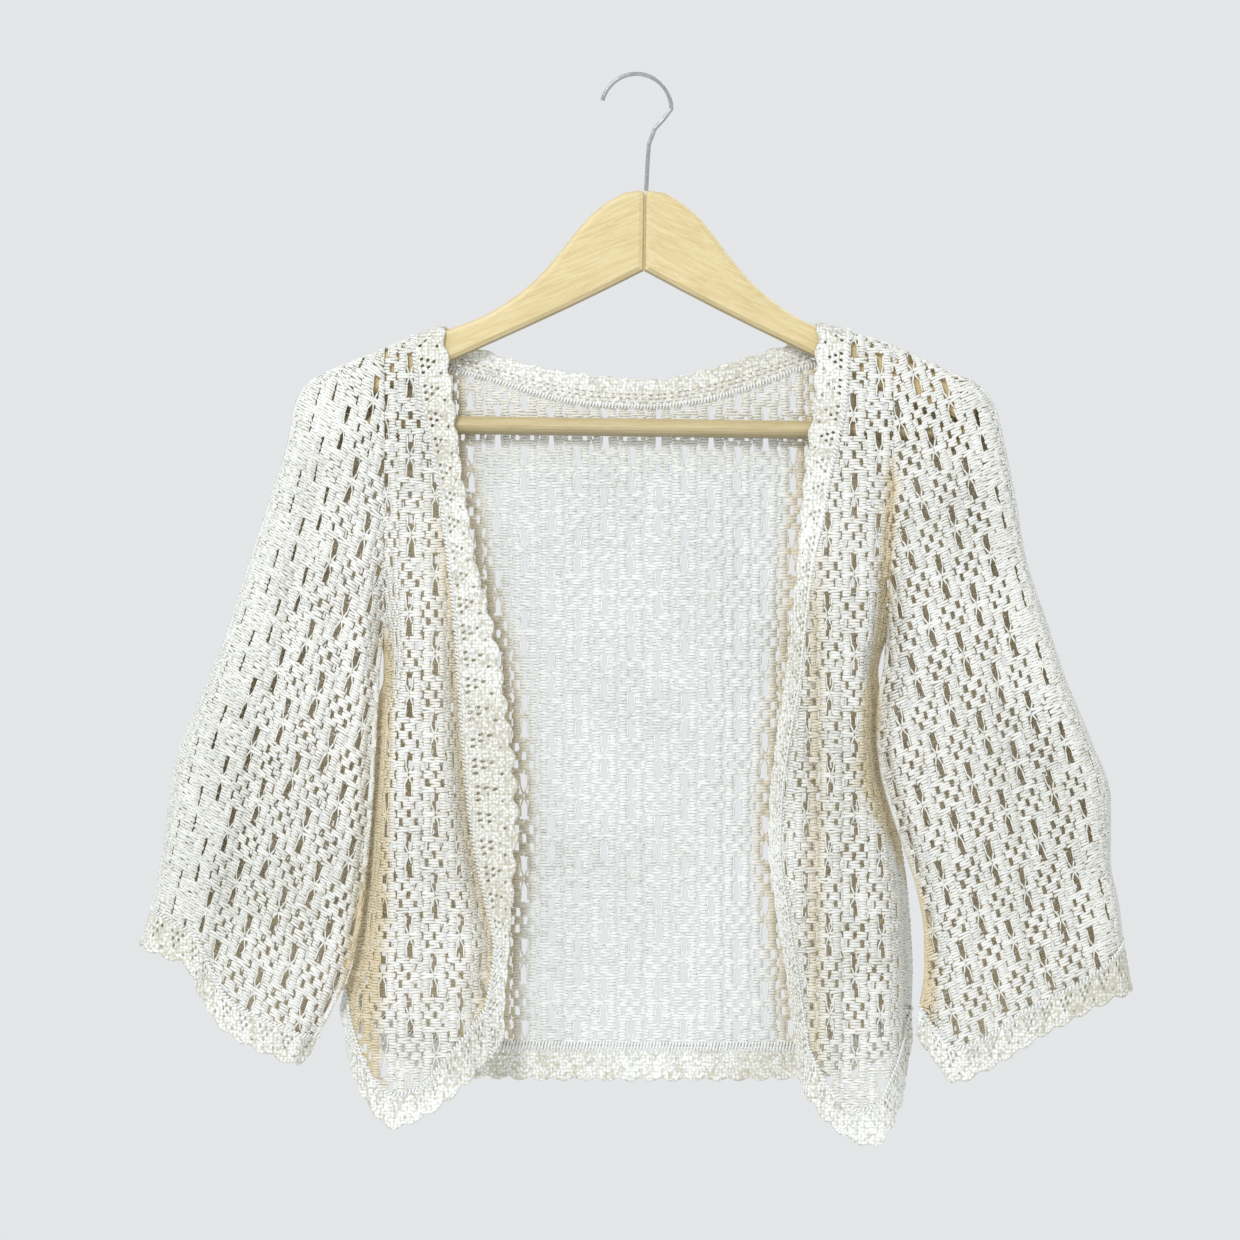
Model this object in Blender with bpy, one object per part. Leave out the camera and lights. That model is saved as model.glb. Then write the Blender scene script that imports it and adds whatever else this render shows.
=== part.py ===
"""Cropped openwork cardigan hanging open on a wooden hanger.

Every piece that a maker cuts and sews is its own thin wall: back, two fronts, two halves of each
sleeve, and the scalloped bands on the front edges, neck, hem and cuffs. The hanger has two wooden
arms, a trouser bar and a wire hook. Tables are in millimetres: across runs to the viewer's right
from the hanger's joint line, drop runs down from the hook's rest, and depth runs away from the
viewer. The origin is the point where a rail touches the hook.
"""

import math
from collections import namedtuple

import bpy
import numpy as np

MM = 0.001

# Driving sizes of the cloth. Lap is from a piece's own layer to the middle of the wall beside it,
# and pinch is how far the wall's middle stands off the fold line of a sleeve or shoulder.
WALL = 1.6
SEAM_GAP = 0.3
LAP = WALL / 2 + SEAM_GAP
PINCH = 0.3
EYELET_WIDTH = 5.0
EYELET_HEIGHT = 13.5
LEAST_EYELET = 4.0
SHOULDER_ROUND = 8.0
FRONT_BAND_WIDTH = 20.0
HEM_BAND_WIDTH = 22.0
EDGE_SCALLOP = 17.5
HEM_SCALLOP = 14.5
SCALLOP_DEPTH = 3.0
SCALLOP_STEPS = 3

# Shares of a rounded rim's width at which the wall has a line of points
RIM = np.array([0.12, 0.45, 1.0])

# Driving sizes of the hanger
WOOD_THICKNESS = 12.0
WOOD_ROUND = 3.5
WOOD_ROUND_SEGMENTS = 2
WOOD_SHARPEST = math.radians(85)
WOOD_UPPER_POINTS = 19
WOOD_LOWER_POINTS = 9
WOOD_TOP = 74.6
BAR_RADIUS = 6.0
BAR_DROP = 230.0
BAR_HALF = 206.0
BAR_SIDES = 20
HANGER_TILT = math.radians(0.8)
WIRE_RADIUS = 1.4
WIRE_ROUNDNESS = 2
HOOK_RADIUS = 22.9
HOOK_OFFSET = 5.6
HOOK_OPENING = math.radians(166)

At = namedtuple("At", "across drop")
Hang = namedtuple("Hang", "drop flat side seam edge roll turn")
Tube = namedtuple("Tube", "drop front back inner")
Fold = namedtuple("Fold", "top_across top bottom_across bottom height width")
Finish = namedtuple("Finish", "colour roughness metallic")

# Shoulder lines, from the neck band's edge past the sleeve's outer line
LEFT_RIDGE = [
    At(-112, 155.5), At(-131, 163), At(-152, 171), At(-170, 178), At(-209, 194), At(-240, 207),
]
RIGHT_RIDGE = [
    At(112, 161), At(133, 167), At(162, 176), At(214, 200), At(240, 212),
]

# Armholes, from the shoulder to the underarm
LEFT_ARMHOLE = [At(-170, 178), At(-170, 245), At(-170.5, 310), At(-171, 364)]
RIGHT_ARMHOLE = [At(162, 176), At(162, 245), At(160.5, 310), At(158, 364)]
UNDERARM_DROP = 364.0
UNDERARM_EASE = 25.0
ROUND_FROM = 378.0
FLANGE = 6.0
FLANGE_SHARE = 0.14

# The most of a front's width that the roll into its side and the turn into its band take
ROLL_SHARE = 0.6
TURN_SHARE = 0.4

# Left front, as the viewer sees it: outline curves of the panel and its bands
LEFT_SHOULDER = [At(-170, 178), At(-152, 171)]
LEFT_SIDE = LEFT_ARMHOLE + [
    At(-169.8, 378), At(-170, 390), At(-176.5, 414), At(-179.5, 460), At(-183, 506),
    At(-187.5, 552), At(-191, 580), At(-196, 596),
]
LEFT_SEAM = [
    At(-152, 171), At(-147, 212), At(-139, 245), At(-133, 277), At(-128, 317), At(-124, 356),
    At(-121, 408), At(-116, 473), At(-109, 519), At(-101, 552), At(-98, 572), At(-100, 588),
    At(-104, 609),
]
LEFT_EDGE = [
    At(-131, 163), At(-124, 212), At(-121, 245), At(-116, 277), At(-110, 317), At(-101, 349),
    At(-95, 375), At(-90, 408), At(-85, 440), At(-82, 485), At(-84, 515), At(-87, 550),
    At(-91, 604),
]
LEFT_HEM = [
    At(-196, 596), At(-188, 627), At(-176, 654), At(-162, 664), At(-146, 659),
    At(-131, 643), At(-118, 627), At(-104, 609),
]
LEFT_BOTTOM = [
    At(-200, 612), At(-192, 646), At(-182, 668), At(-163, 687), At(-149, 682),
    At(-133, 673), At(-118, 660), At(-100, 640),
]
LEFT_CORNER = At(-92, 630)

# Right front
RIGHT_SHOULDER = [At(162, 176), At(133, 167)]
RIGHT_SIDE = RIGHT_ARMHOLE + [
    At(154.6, 376), At(152.5, 388), At(154.2, 412), At(153.6, 428), At(155.5, 452), At(161, 477),
    At(167, 500), At(171.5, 530), At(174, 560), At(175, 585), At(174, 610),
]
RIGHT_SEAM = [
    At(133, 167), At(131, 212), At(126, 238), At(120, 264), At(116, 290), At(110, 317),
    At(106, 350), At(101, 400), At(95, 434), At(90, 473), At(89, 506), At(93, 539),
    At(98, 572), At(103, 604), At(107, 634),
]
RIGHT_EDGE = [
    At(112, 161), At(111, 179), At(109, 212), At(105, 245), At(102, 275), At(99, 317),
    At(96, 350), At(91, 400), At(86, 434), At(82, 473), At(81, 506), At(85, 539),
    At(90, 572), At(95, 604), At(98, 630),
]
RIGHT_HEM = [
    At(174, 610), At(167, 632), At(159, 654), At(149, 672), At(138, 674), At(124, 664),
    At(114, 650), At(107, 634),
]
RIGHT_BOTTOM = [
    At(175, 632), At(168, 666), At(159, 688), At(149, 699), At(135, 695), At(119, 684),
    At(108, 670), At(104, 664),
]
RIGHT_CORNER = At(101, 654)

# Back panel with its neck and hem bands
NECK_SEAM = [
    At(-152, 171), At(-149, 181), At(-140, 187), At(-128, 191), At(-94, 200), At(-61, 210),
    At(-28, 215), At(4, 216), At(37, 212), At(69, 203), At(99, 192), At(122, 184),
    At(130, 177), At(133, 167),
]
BACK_HEM = [
    At(-196, 596), At(-177, 614), At(-147, 629), At(-118, 634), At(-3, 636), At(101, 636),
    At(128, 632), At(154, 622), At(174, 610),
]
BACK_BOTTOM = [
    At(-200, 612), At(-180, 636), At(-147, 651), At(-118, 657), At(-3, 659), At(101, 658),
    At(134, 653), At(160, 643), At(175, 632),
]
NECK_EDGE = [
    At(-131, 163), At(-119, 173), At(-101, 180), At(-61, 191), At(-22, 196), At(4, 198),
    At(29, 194), At(61, 185), At(86, 177), At(101, 171), At(112, 161),
]

# Sleeves: shoulder line, outer line, armhole and inner line, cuff seam and cuff edge
LEFT_CAP = [At(-209, 194), At(-170, 178)]
LEFT_OUTER = [
    At(-209, 194), At(-220, 201), At(-228, 213), At(-233, 238), At(-245, 277), At(-258, 317),
    At(-275, 369), At(-294, 415), At(-304, 438), At(-309, 460), At(-314, 500), At(-322, 544),
]
LEFT_INNER = LEFT_ARMHOLE + [
    At(-173, 385), At(-174, 408), At(-176.5, 460), At(-180, 506), At(-185, 552), At(-193, 585),
    At(-202, 606), At(-213, 627),
]
LEFT_CUFF_SEAM = [
    At(-322, 544), At(-308, 552), At(-294, 560), At(-283, 582), At(-273, 600), At(-258, 611),
    At(-237, 620), At(-222, 626), At(-213, 627),
]
LEFT_CUFF_EDGE = [
    At(-330, 568), At(-317, 575), At(-300, 581), At(-288, 605), At(-277, 621), At(-262, 632),
    At(-241, 641), At(-227, 646), At(-219, 640),
]
RIGHT_CAP = [At(214, 200), At(162, 176)]
RIGHT_OUTER = [
    At(214, 200), At(223, 207), At(229, 218), At(234, 238), At(242, 277), At(249, 317),
    At(262, 356), At(275, 395), At(291, 434), At(304, 473), At(304, 513), At(310, 544),
    At(312, 565),
]
RIGHT_INNER = RIGHT_ARMHOLE + [
    At(156, 385), At(151.5, 410), At(150.5, 428), At(153, 452), At(159.5, 477), At(169, 505),
    At(177, 530), At(182, 560), At(182, 585), At(179, 607),
]
RIGHT_CUFF_SEAM = [
    At(312, 565), At(301, 579), At(284, 591), At(264, 602), At(244, 612), At(222, 627),
    At(203, 634), At(190, 624), At(179, 607),
]
RIGHT_CUFF_EDGE = [
    At(318, 598), At(312, 601), At(297, 607), At(276, 618), At(256, 629), At(225, 648),
    At(201, 658), At(190, 645), At(177, 628),
]

# How the fronts hang: depth of the flat part, side edge, band seam and scalloped edge, width of
# the roll into the side and of the turn into the band
LEFT_HANG = [
    Hang(160, -8.8, -8.8, -8.8, -8.8, 10, 10),
    Hang(215, -10, -9, -10, -10, 10, 10),
    Hang(250, -13, -9.5, -13, -13, 12, 12),
    Hang(310, -19, -7, -18, -17, 14, 12),
    Hang(345, -23, 0, -16, -14, 15, 12),
    Hang(364, -25, 3, -13, -12, 16, 12),
    Hang(400, -28, 4, -9, -9, 18, 12),
    Hang(470, -32, 5, -7, -8, 20, 12),
    Hang(540, -34, 5, -8, -8, 24, 13),
    Hang(580, -33, 5, -13, -10, 26, 16),
    Hang(606, -30, 5, -19, -13, 26, 20),
    Hang(700, -26, 5, -19, -13, 26, 20),
]
RIGHT_HANG = [
    Hang(160, -8.8, -8.8, -8.8, -8.8, 10, 8),
    Hang(215, -10, -9, -10, -10, 10, 8),
    Hang(250, -13, -9.5, -13, -13, 12, 8),
    Hang(310, -19, -7, -18, -15, 14, 8),
    Hang(345, -23, 0, -19, -8, 14, 8),
    Hang(364, -25, 3, -19, -5, 14, 8),
    Hang(400, -28, 4, -19, -3, 14, 9),
    Hang(470, -32, 5, -20, -3, 18, 9),
    Hang(540, -33, 5, -20, -3, 22, 9),
    Hang(606, -31, 5, -20, -3, 24, 10),
    Hang(700, -26, 5, -18, -4, 24, 10),
]
BACK_HANG = [
    Hang(160, 8.8, 8.8, 8.8, 8.8, 8, 0),
    Hang(250, 9.5, 9.5, 9.5, 9.5, 8, 0),
    Hang(310, 12, 9, 12, 12, 10, 0),
    Hang(345, 14, 6, 14, 14, 12, 0),
    Hang(364, 15, 5.4, 15, 15, 14, 0),
    Hang(400, 16, 6.4, 16, 16, 14, 0),
    Hang(470, 17, 7.2, 17, 17, 14, 0),
    Hang(700, 18, 7.2, 18, 18, 14, 0),
]
# How the sleeves hang: depth of the front and back layers, and of the front layer's inner line
LEFT_TUBE = [
    Tube(160, -8.8, 8.8, -8.8), Tube(250, -10, 10, -9.5), Tube(310, -14, 13, -7),
    Tube(345, -17, 14, 0), Tube(364, -18, 14, 3), Tube(385, -19, 13, -3), Tube(420, -20, 12, -10),
    Tube(560, -21, 10, -12), Tube(660, -20, 9, -12),
]
RIGHT_TUBE = [
    Tube(160, -8.8, 8.8, -8.8), Tube(250, -10, 10, -9.5), Tube(310, -14, 13, -7),
    Tube(345, -17, 14, 0), Tube(364, -18, 14, 3), Tube(385, -20, 13, -3), Tube(420, -22, 12, -10),
    Tube(560, -22, 10, -12), Tube(660, -20, 9, -12),
]
TUBE_ROLL = 12.0
TUBE_SLOPE = 40.0

# Creases, from the top of each to its foot: height is positive for a trough seen from outside
LEFT_FOLDS = [
    Fold(-141, 360, -139, 640, 3.0, 5.0),
    Fold(-155, 420, -160, 620, -2.5, 6.0),
]
RIGHT_FOLDS = [
    Fold(112, 330, 109, 610, 7.0, 5.0),
    Fold(131, 380, 130, 640, 2.5, 4.0),
    Fold(123, 380, 122, 640, -2.0, 4.0),
]
BACK_FOLDS = [
    Fold(-104, 300, -96, 660, 2.5, 9.0),
    Fold(-60, 240, -64, 660, -2.0, 12.0),
    Fold(-2, 230, 1, 660, 2.5, 9.0),
    Fold(45, 260, 41, 660, -2.0, 13.0),
    Fold(92, 300, 95, 660, 2.5, 9.0),
    Fold(135, 380, 138, 640, -2.0, 10.0),
    Fold(-146, 380, -150, 640, -2.0, 10.0),
]
LEFT_SLEEVE_FOLDS = [
    Fold(-206, 230, -288, 610, 6.0, 7.0),
    Fold(-222, 330, -246, 620, -2.5, 9.0),
    Fold(-196, 330, -214, 600, 2.0, 8.0),
]
RIGHT_SLEEVE_FOLDS = [
    Fold(195, 250, 214, 610, -2.5, 8.0),
    Fold(228, 340, 262, 620, 5.0, 8.0),
    Fold(179, 500, 190, 600, 5.0, 6.0),
]
CREASE_END = 40.0
BACK_LAYER_CREASE = 0.4

# Shares of a panel from its corners within which the wall's direction is read further inside
CORNER = 0.01
LOW_CORNER = 0.03

# Share of a panel between the places that give the wall's direction, and points read along a curve
READING_STEP = 1e-3
CURVE_POINTS = 401
TINY = 1e-9

# Panels' usual sizes, and the eyelets cut through each: columns across and rows down
BACK_WIDTH = 335.0
FRONT_WIDTH = 65.0
SLEEVE_WIDTH = 105.0
PANEL_LENGTH = 430.0
NECK_STEPS = (0.0, 3.5, 9.0)
BACK_EYELETS = (10, 9)
FRONT_EYELETS = (3, 9)
SLEEVE_EYELETS = (4, 9)

# One half of the hanger's wood, from the joint line to the tip and back
WOOD_UPPER = [
    At(0, 74.6), At(13, 76.5), At(26, 84), At(38, 94.5), At(52, 112.5), At(63, 126),
    At(75, 138.5), At(90, 150), At(104, 158.5), At(128, 168), At(150, 177), At(190, 191.5), At(206, 200),
]
WOOD_END = [At(214, 206), At(218.5, 213), At(218.5, 234), At(214, 240), At(206.3, 240)]
WOOD_LOWER = [At(206.3, 222), At(173, 210.5), At(131, 191), At(40, 148), At(0, 127.5)]
HOOK_STEM = [At(0.8, 75.1), At(1.5, 60), At(2.6, 44.5), At(6.5, 34.5), At(12.5, 28)]
ARC_STEPS = 18

COTTON = Finish((0.86, 0.84, 0.79, 1.0), 0.9, 0.0)
WOOD = Finish((0.74, 0.6, 0.36, 1.0), 0.45, 0.0)
STEEL = Finish((0.6, 0.6, 0.62, 1.0), 0.25, 1.0)


def smooth(value, places, heights):
    """The table's height at each value, on a curve that never overshoots its rows."""
    places = np.asarray(places, float)
    heights = np.asarray(heights, float)
    value = np.clip(value, places[0], places[-1])
    steps = np.diff(places)
    slopes = np.diff(heights) / steps
    tangents = np.zeros_like(heights)
    tangents[0] = slopes[0]
    tangents[-1] = slopes[-1]
    before, after = slopes[:-1], slopes[1:]
    same_way = before * after > 0
    before, after = before[same_way], after[same_way]
    near = (2 * steps[1:] + steps[:-1])[same_way]
    far = (steps[1:] + 2 * steps[:-1])[same_way]
    tangents[1:-1][same_way] = (near + far) / (near / before + far / after)
    row = np.clip(np.searchsorted(places, value, side="right") - 1, 0, len(steps) - 1)
    t = (value - places[row]) / steps[row]
    return (
        (1 + 2 * t) * (1 - t) ** 2 * heights[row]
        + t * (1 - t) ** 2 * steps[row] * tangents[row]
        + t * t * (3 - 2 * t) * heights[row + 1]
        + t * t * (t - 1) * steps[row] * tangents[row + 1]
    )


def line(points):
    """A curve through points, as a function of the share of its length."""
    places = np.array(points, float)
    reach = np.concatenate([[0.0], np.cumsum(np.hypot(*np.diff(places, axis=0).T))])
    share = reach / reach[-1]
    return lambda t: np.stack([smooth(t, share, places[:, 0]), smooth(t, share, places[:, 1])], axis=-1)


def sideways(curve, beyond):
    """Across at each drop along a curve that runs down, and past its foot to one place more."""
    places = np.concatenate([curve(np.linspace(0, 1, CURVE_POINTS)), np.array([beyond], float)])
    return lambda drop: np.interp(drop, places[:, 1], places[:, 0])


def joined(*runs):
    """Runs of points end to end as one curve with sharp joints, and the share at each joint."""
    lengths = [length_of(run) for run in runs]
    reach = np.concatenate([[0.0], np.cumsum(lengths)]) / sum(lengths)
    curves = [line(run) for run in runs]

    def place(t):
        t = np.asarray(t, float)
        at = curves[0](t / reach[1])
        for curve, first, last in list(zip(curves, reach[:-1], reach[1:], strict=True))[1:]:
            at = np.where((t > first)[..., None], curve((t - first) / (last - first)), at)
        return at

    return place, reach


def length_of(points):
    """The length of a run of points."""
    places = np.array(points, float)
    return float(np.hypot(*np.diff(places, axis=0).T).sum())


def patch(top, bottom, left, right, u, v):
    """The place inside four outline curves, u from left to right and v from top to bottom."""
    u = u[..., None]
    v = v[..., None]
    ends = (
        (1 - u) * (1 - v) * top(np.zeros(1))
        + u * (1 - v) * top(np.ones(1))
        + (1 - u) * v * bottom(np.zeros(1))
        + u * v * bottom(np.ones(1))
    )
    flat_u = u[..., 0]
    flat_v = v[..., 0]
    return (1 - v) * top(flat_u) + v * bottom(flat_u) + (1 - u) * left(flat_v) + u * right(flat_v) - ends


def column(table, name, drop):
    """A hang table's named column at each drop."""
    return smooth(drop, [row.drop for row in table], [getattr(row, name) for row in table])


def round_fall(share):
    """1 at an edge that turns away, falling to 0 on a quarter round."""
    share = np.clip(share, 0, 1)
    return 1 - np.sqrt(1 - (1 - share) ** 2)


def soft_fall(share):
    """1 at an edge, falling softly to 0."""
    share = np.clip(share, 0, 1)
    return 1 - share * share * (3 - 2 * share)


def side_fall(distance, roll, drop):
    """A soft valley along the armhole seam, and below the underarm a narrow flange that lies
    behind the sleeve before the cloth rounds forwards."""
    below = 1 - soft_fall((drop - ROUND_FROM) / UNDERARM_EASE)
    flange = 1 - np.clip(distance / FLANGE, 0, 1)
    rounded = round_fall((distance - FLANGE) / (roll - FLANGE))
    edge = FLANGE_SHARE * flange + (1 - FLANGE_SHARE) * rounded
    return soft_fall(distance / roll) * (1 - below) + edge * below


def creases(folds, across, drop):
    """Depth that the creases add at a place."""
    depth = np.zeros_like(across)
    for fold in folds:
        share = (drop - fold.top) / (fold.bottom - fold.top)
        middle = fold.top_across + share * (fold.bottom_across - fold.top_across)
        open_top = soft_fall((drop - fold.top) / CREASE_END)
        open_foot = soft_fall((fold.bottom + CREASE_END - drop) / CREASE_END)
        strength = (1 - open_top) * (1 - open_foot)
        depth = depth + fold.height * strength * np.exp(-(((across - middle) / fold.width) ** 2))
    return depth


def over_shoulder(depth, across, drop, shoulder):
    """Brings the cloth together over the hanger's arm, on a quarter round under the shoulder line."""
    top = np.interp(np.abs(across), [abs(p.across) for p in shoulder], [p.drop for p in shoulder])
    near = round_fall((drop - top) / SHOULDER_ROUND)
    return np.sign(depth) * (PINCH * near + np.abs(depth) * (1 - near))


class Front:
    """A front with its edge band and hem band: u is 0 at the side, 1 at the band seam and 2 at the
    scalloped edge, v is 0 at the shoulder, 1 at the hem seam and 2 at the scalloped hem."""

    def __init__(self, shoulder, side, seam, edge, hem, bottom, corner, hang, folds, turn, ridge):
        self.top = line(shoulder)
        self.side = line(side)
        self.seam = line(seam)
        self.edge = line(edge)
        self.hem = line(hem)
        self.bottom = line(bottom)
        self.corner = np.array(corner, float)
        self.side_at = sideways(self.side, bottom[0])
        self.seam_at = sideways(self.seam, bottom[-1])
        self.hang = hang
        self.folds = folds
        self.turn = turn
        self.ridge = ridge

    def place(self, u, v):
        inside = patch(self.top, self.hem, self.side, self.seam, np.clip(u, 0, 1), np.clip(v, 0, 1))
        over_u = np.clip(u - 1, 0, 1)[..., None]
        over_v = np.clip(v - 1, 0, 1)[..., None]
        held_u = np.clip(u, 0, 1)
        held_v = np.clip(v, 0, 1)
        band = self.seam(held_v) + over_u * (self.edge(held_v) - self.seam(held_v))
        hem = self.hem(held_u) + over_v * (self.bottom(held_u) - self.hem(held_u))
        foot = self.bottom(np.ones(1)) + over_u * (self.corner - self.bottom(np.ones(1)))
        head = self.seam(np.ones(1)) + over_u * (self.edge(np.ones(1)) - self.seam(np.ones(1)))
        corner = head + over_v * (foot - head)
        beyond_u = (u > 1)[..., None]
        beyond_v = (v > 1)[..., None]
        return np.where(beyond_u, np.where(beyond_v, corner, band), np.where(beyond_v, hem, inside))

    def surface(self, u, v):
        flat = self.place(u, v)
        across, drop = flat[..., 0], flat[..., 1]
        width = np.abs(self.seam_at(drop) - self.side_at(drop))
        deep = column(self.hang, "flat", drop)
        side = column(self.hang, "side", drop) - deep
        seam = column(self.hang, "seam", drop) - deep
        edge = column(self.hang, "edge", drop) - deep
        from_side = np.where(u > 0, np.abs(across - self.side_at(drop)), 0)
        from_seam = np.where(u < 1, np.abs(across - self.seam_at(drop)), 0)
        roll = np.minimum(column(self.hang, "roll", drop), ROLL_SHARE * width)
        turn = np.minimum(column(self.hang, "turn", drop), TURN_SHARE * width)
        beside = side_fall(from_side, roll, drop)
        depth = deep + side * beside + seam * self.turn(from_seam / turn)
        on_panel = (1 - np.clip(u - 1, 0, 1)) * (1 - beside)
        depth = depth + creases(self.folds, across, drop) * on_panel * np.clip(from_seam / turn, 0, 1)
        depth = depth + np.clip(u - 1, 0, 1) * (edge - seam)
        depth = over_shoulder(depth, across, drop, self.ridge)
        return np.stack([across, depth, drop], axis=-1)


class Back:
    """The back panel and its hem band, u from the left side to the right one."""

    def __init__(self):
        self.top, self.joints = joined(LEFT_SHOULDER, NECK_SEAM, RIGHT_SHOULDER[::-1])
        self.hem = line(BACK_HEM)
        self.bottom = line(BACK_BOTTOM)
        self.left = line(LEFT_SIDE)
        self.right = line(RIGHT_SIDE)

    def surface(self, u, v):
        held_v = np.clip(v, 0, 1)
        flat = patch(self.top, self.hem, self.left, self.right, u, held_v)
        over = np.clip(v - 1, 0, 1)[..., None]
        return back_surface(flat + over * (self.bottom(u) - self.hem(u)))


def back_surface(flat):
    """The back's places with the depth at which each hangs."""
    across, drop = flat[..., 0], flat[..., 1]
    from_left = across - sideways(line(LEFT_SIDE), BACK_BOTTOM[0])(drop)
    from_right = sideways(line(RIGHT_SIDE), BACK_BOTTOM[-1])(drop) - across
    from_side = np.maximum(np.minimum(from_left, from_right), 0)
    deep = column(BACK_HANG, "flat", drop)
    side = column(BACK_HANG, "side", drop) - deep
    roll = column(BACK_HANG, "roll", drop)
    fall = side_fall(from_side, roll, drop)
    depth = deep + side * fall + creases(BACK_FOLDS, across, drop) * (1 - fall)
    left_side = across < 0
    near_left = over_shoulder(depth, across, drop, LEFT_RIDGE)
    near_right = over_shoulder(depth, across, drop, RIGHT_RIDGE)
    depth = np.where(left_side, near_left, near_right)
    return np.stack([across, depth, drop], axis=-1)


class NeckBand:
    """The back neck band: u along the back panel's top, v from its seam to its scalloped edge."""

    def __init__(self):
        self.seam, joints = joined(LEFT_SHOULDER, NECK_SEAM, RIGHT_SHOULDER[::-1])
        self.edge = line(NECK_EDGE)
        self.first, self.last = joints[1], joints[2]

    def surface(self, u, v):
        share = (u - self.first) / (self.last - self.first)
        return back_surface(self.seam(u) + v[..., None] * (self.edge(share) - self.seam(u)))


class Sleeve:
    """One layer of a sleeve and its cuff: u from the outer line to the inner one, v from the
    shoulder to the cuff seam at 1 and the cuff's scalloped edge at 2."""

    def __init__(self, cap, cuff_seam, cuff_edge, outer, inner, tube, folds, ridge, layer):
        self.top = line(cap)
        self.cuff_seam = line(cuff_seam)
        self.cuff_edge = line(cuff_edge)
        self.outer = line(outer)
        self.inner = line(inner)
        self.tube = tube
        self.folds = folds
        self.ridge = ridge
        self.layer = layer
        self.outer_at = sideways(self.outer, cuff_edge[0])
        self.inner_at = sideways(self.inner, cuff_edge[-1])

    def surface(self, u, v):
        held_v = np.clip(v, 0, 1)
        flat = patch(self.top, self.cuff_seam, self.outer, self.inner, u, held_v)
        over = np.clip(v - 1, 0, 1)[..., None]
        flat = flat + over * (self.cuff_edge(u) - self.cuff_seam(u))
        across, drop = flat[..., 0], flat[..., 1]
        from_outer = np.where(u > 0, np.abs(across - self.outer_at(drop)), 0)
        from_inner = np.where(u < 1, np.abs(across - self.inner_at(drop)), 0)
        inner = column(self.tube, "inner", drop)
        deep = column(self.tube, self.layer, drop)
        if self.layer == "back":
            armhole = column(BACK_HANG, "side", drop)
            below = 1 - soft_fall((drop - UNDERARM_DROP) / UNDERARM_EASE)
            inner = armhole * (1 - below) + (inner + 2 * LAP) * below
            outer_edge = PINCH
            slope = soft_fall(from_inner / TUBE_SLOPE)
        else:
            outer_edge = -PINCH
            slope = side_fall(from_inner, TUBE_ROLL, drop)
        roll = round_fall(from_outer / TUBE_ROLL)
        depth = deep + (outer_edge - deep) * roll + (inner - deep) * slope * (1 - roll)
        crease = creases(self.folds, across, drop) * (1 - roll) * (1 - slope)
        depth = depth + (crease if self.layer == "front" else BACK_LAYER_CREASE * crease)
        depth = over_shoulder(depth, across, drop, self.ridge)
        return np.stack([across, depth, drop], axis=-1)


def to_metres(points):
    """Across, depth and drop as metres from the hook's rest."""
    return np.stack(
        [(points[..., 0] + HOOK_OFFSET) * MM, points[..., 1] * MM, -points[..., 2] * MM], axis=-1
    )


def crosswise(shape, u, v):
    """The direction across shape's surface, not yet turned to the garment's outside.

    At a corner, where the lines across and down run together, it is read a little inside.
    """
    top_corner = (u < CORNER) & (v < CORNER)
    low_corner = (np.abs(u - 1) < LOW_CORNER) & (np.abs(v - 1) < LOW_CORNER)
    u = np.where(top_corner, CORNER, np.where(low_corner, 1 - LOW_CORNER, u))
    v = np.where(low_corner, 1 - LOW_CORNER, v)
    along_u = shape.surface(u + READING_STEP, v) - shape.surface(u - READING_STEP, v)
    along_v = shape.surface(u, v + READING_STEP) - shape.surface(u, v - READING_STEP)
    normal = np.cross(along_u, along_v)
    return normal / np.maximum(np.linalg.norm(normal, axis=-1, keepdims=True), TINY)


def middle_and_normal(shape, u, v, outward):
    """The middle of the wall and its unit normal, which points to the garment's outside."""
    half = np.array([0.5])
    facing = np.sign(crosswise(shape, half, half)[0, 1]) * outward
    return shape.surface(u, v), crosswise(shape, u, v) * facing


def drawn_in(edge, beside, normal, gap):
    """An edge moved by gap across its own line, towards the side where beside lies."""
    way = np.cross(np.gradient(edge, axis=0), normal)
    way = way * np.sign(((beside - edge) * way).sum(axis=-1, keepdims=True))
    return edge + way * gap / np.maximum(np.linalg.norm(way, axis=-1, keepdims=True), TINY)


def closed_wall(name, middle, normal, cells):
    """A closed wall around the cells, which are polygons of the middle points."""
    count = len(middle)
    points = to_metres(np.concatenate([middle + normal * WALL / 2, middle - normal * WALL / 2]))
    faces = []
    edges = set()
    for corners in cells:
        faces.append(corners)
        faces.append([corner + count for corner in reversed(corners)])
        for start, end in zip(corners, corners[1:] + corners[:1], strict=True):
            if (end, start) in edges:
                edges.remove((end, start))
            else:
                edges.add((start, end))
    for start, end in sorted(edges):
        below_start, below_end = start + count, end + count
        from_end = np.linalg.norm(points[end] - points[below_start])
        from_start = np.linalg.norm(points[start] - points[below_end])
        if from_end < from_start:
            faces += [[end, start, below_start], [end, below_start, below_end]]
        else:
            faces += [[end, start, below_end], [start, below_start, below_end]]
    add_object(name, points, faces, COTTON)


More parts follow.
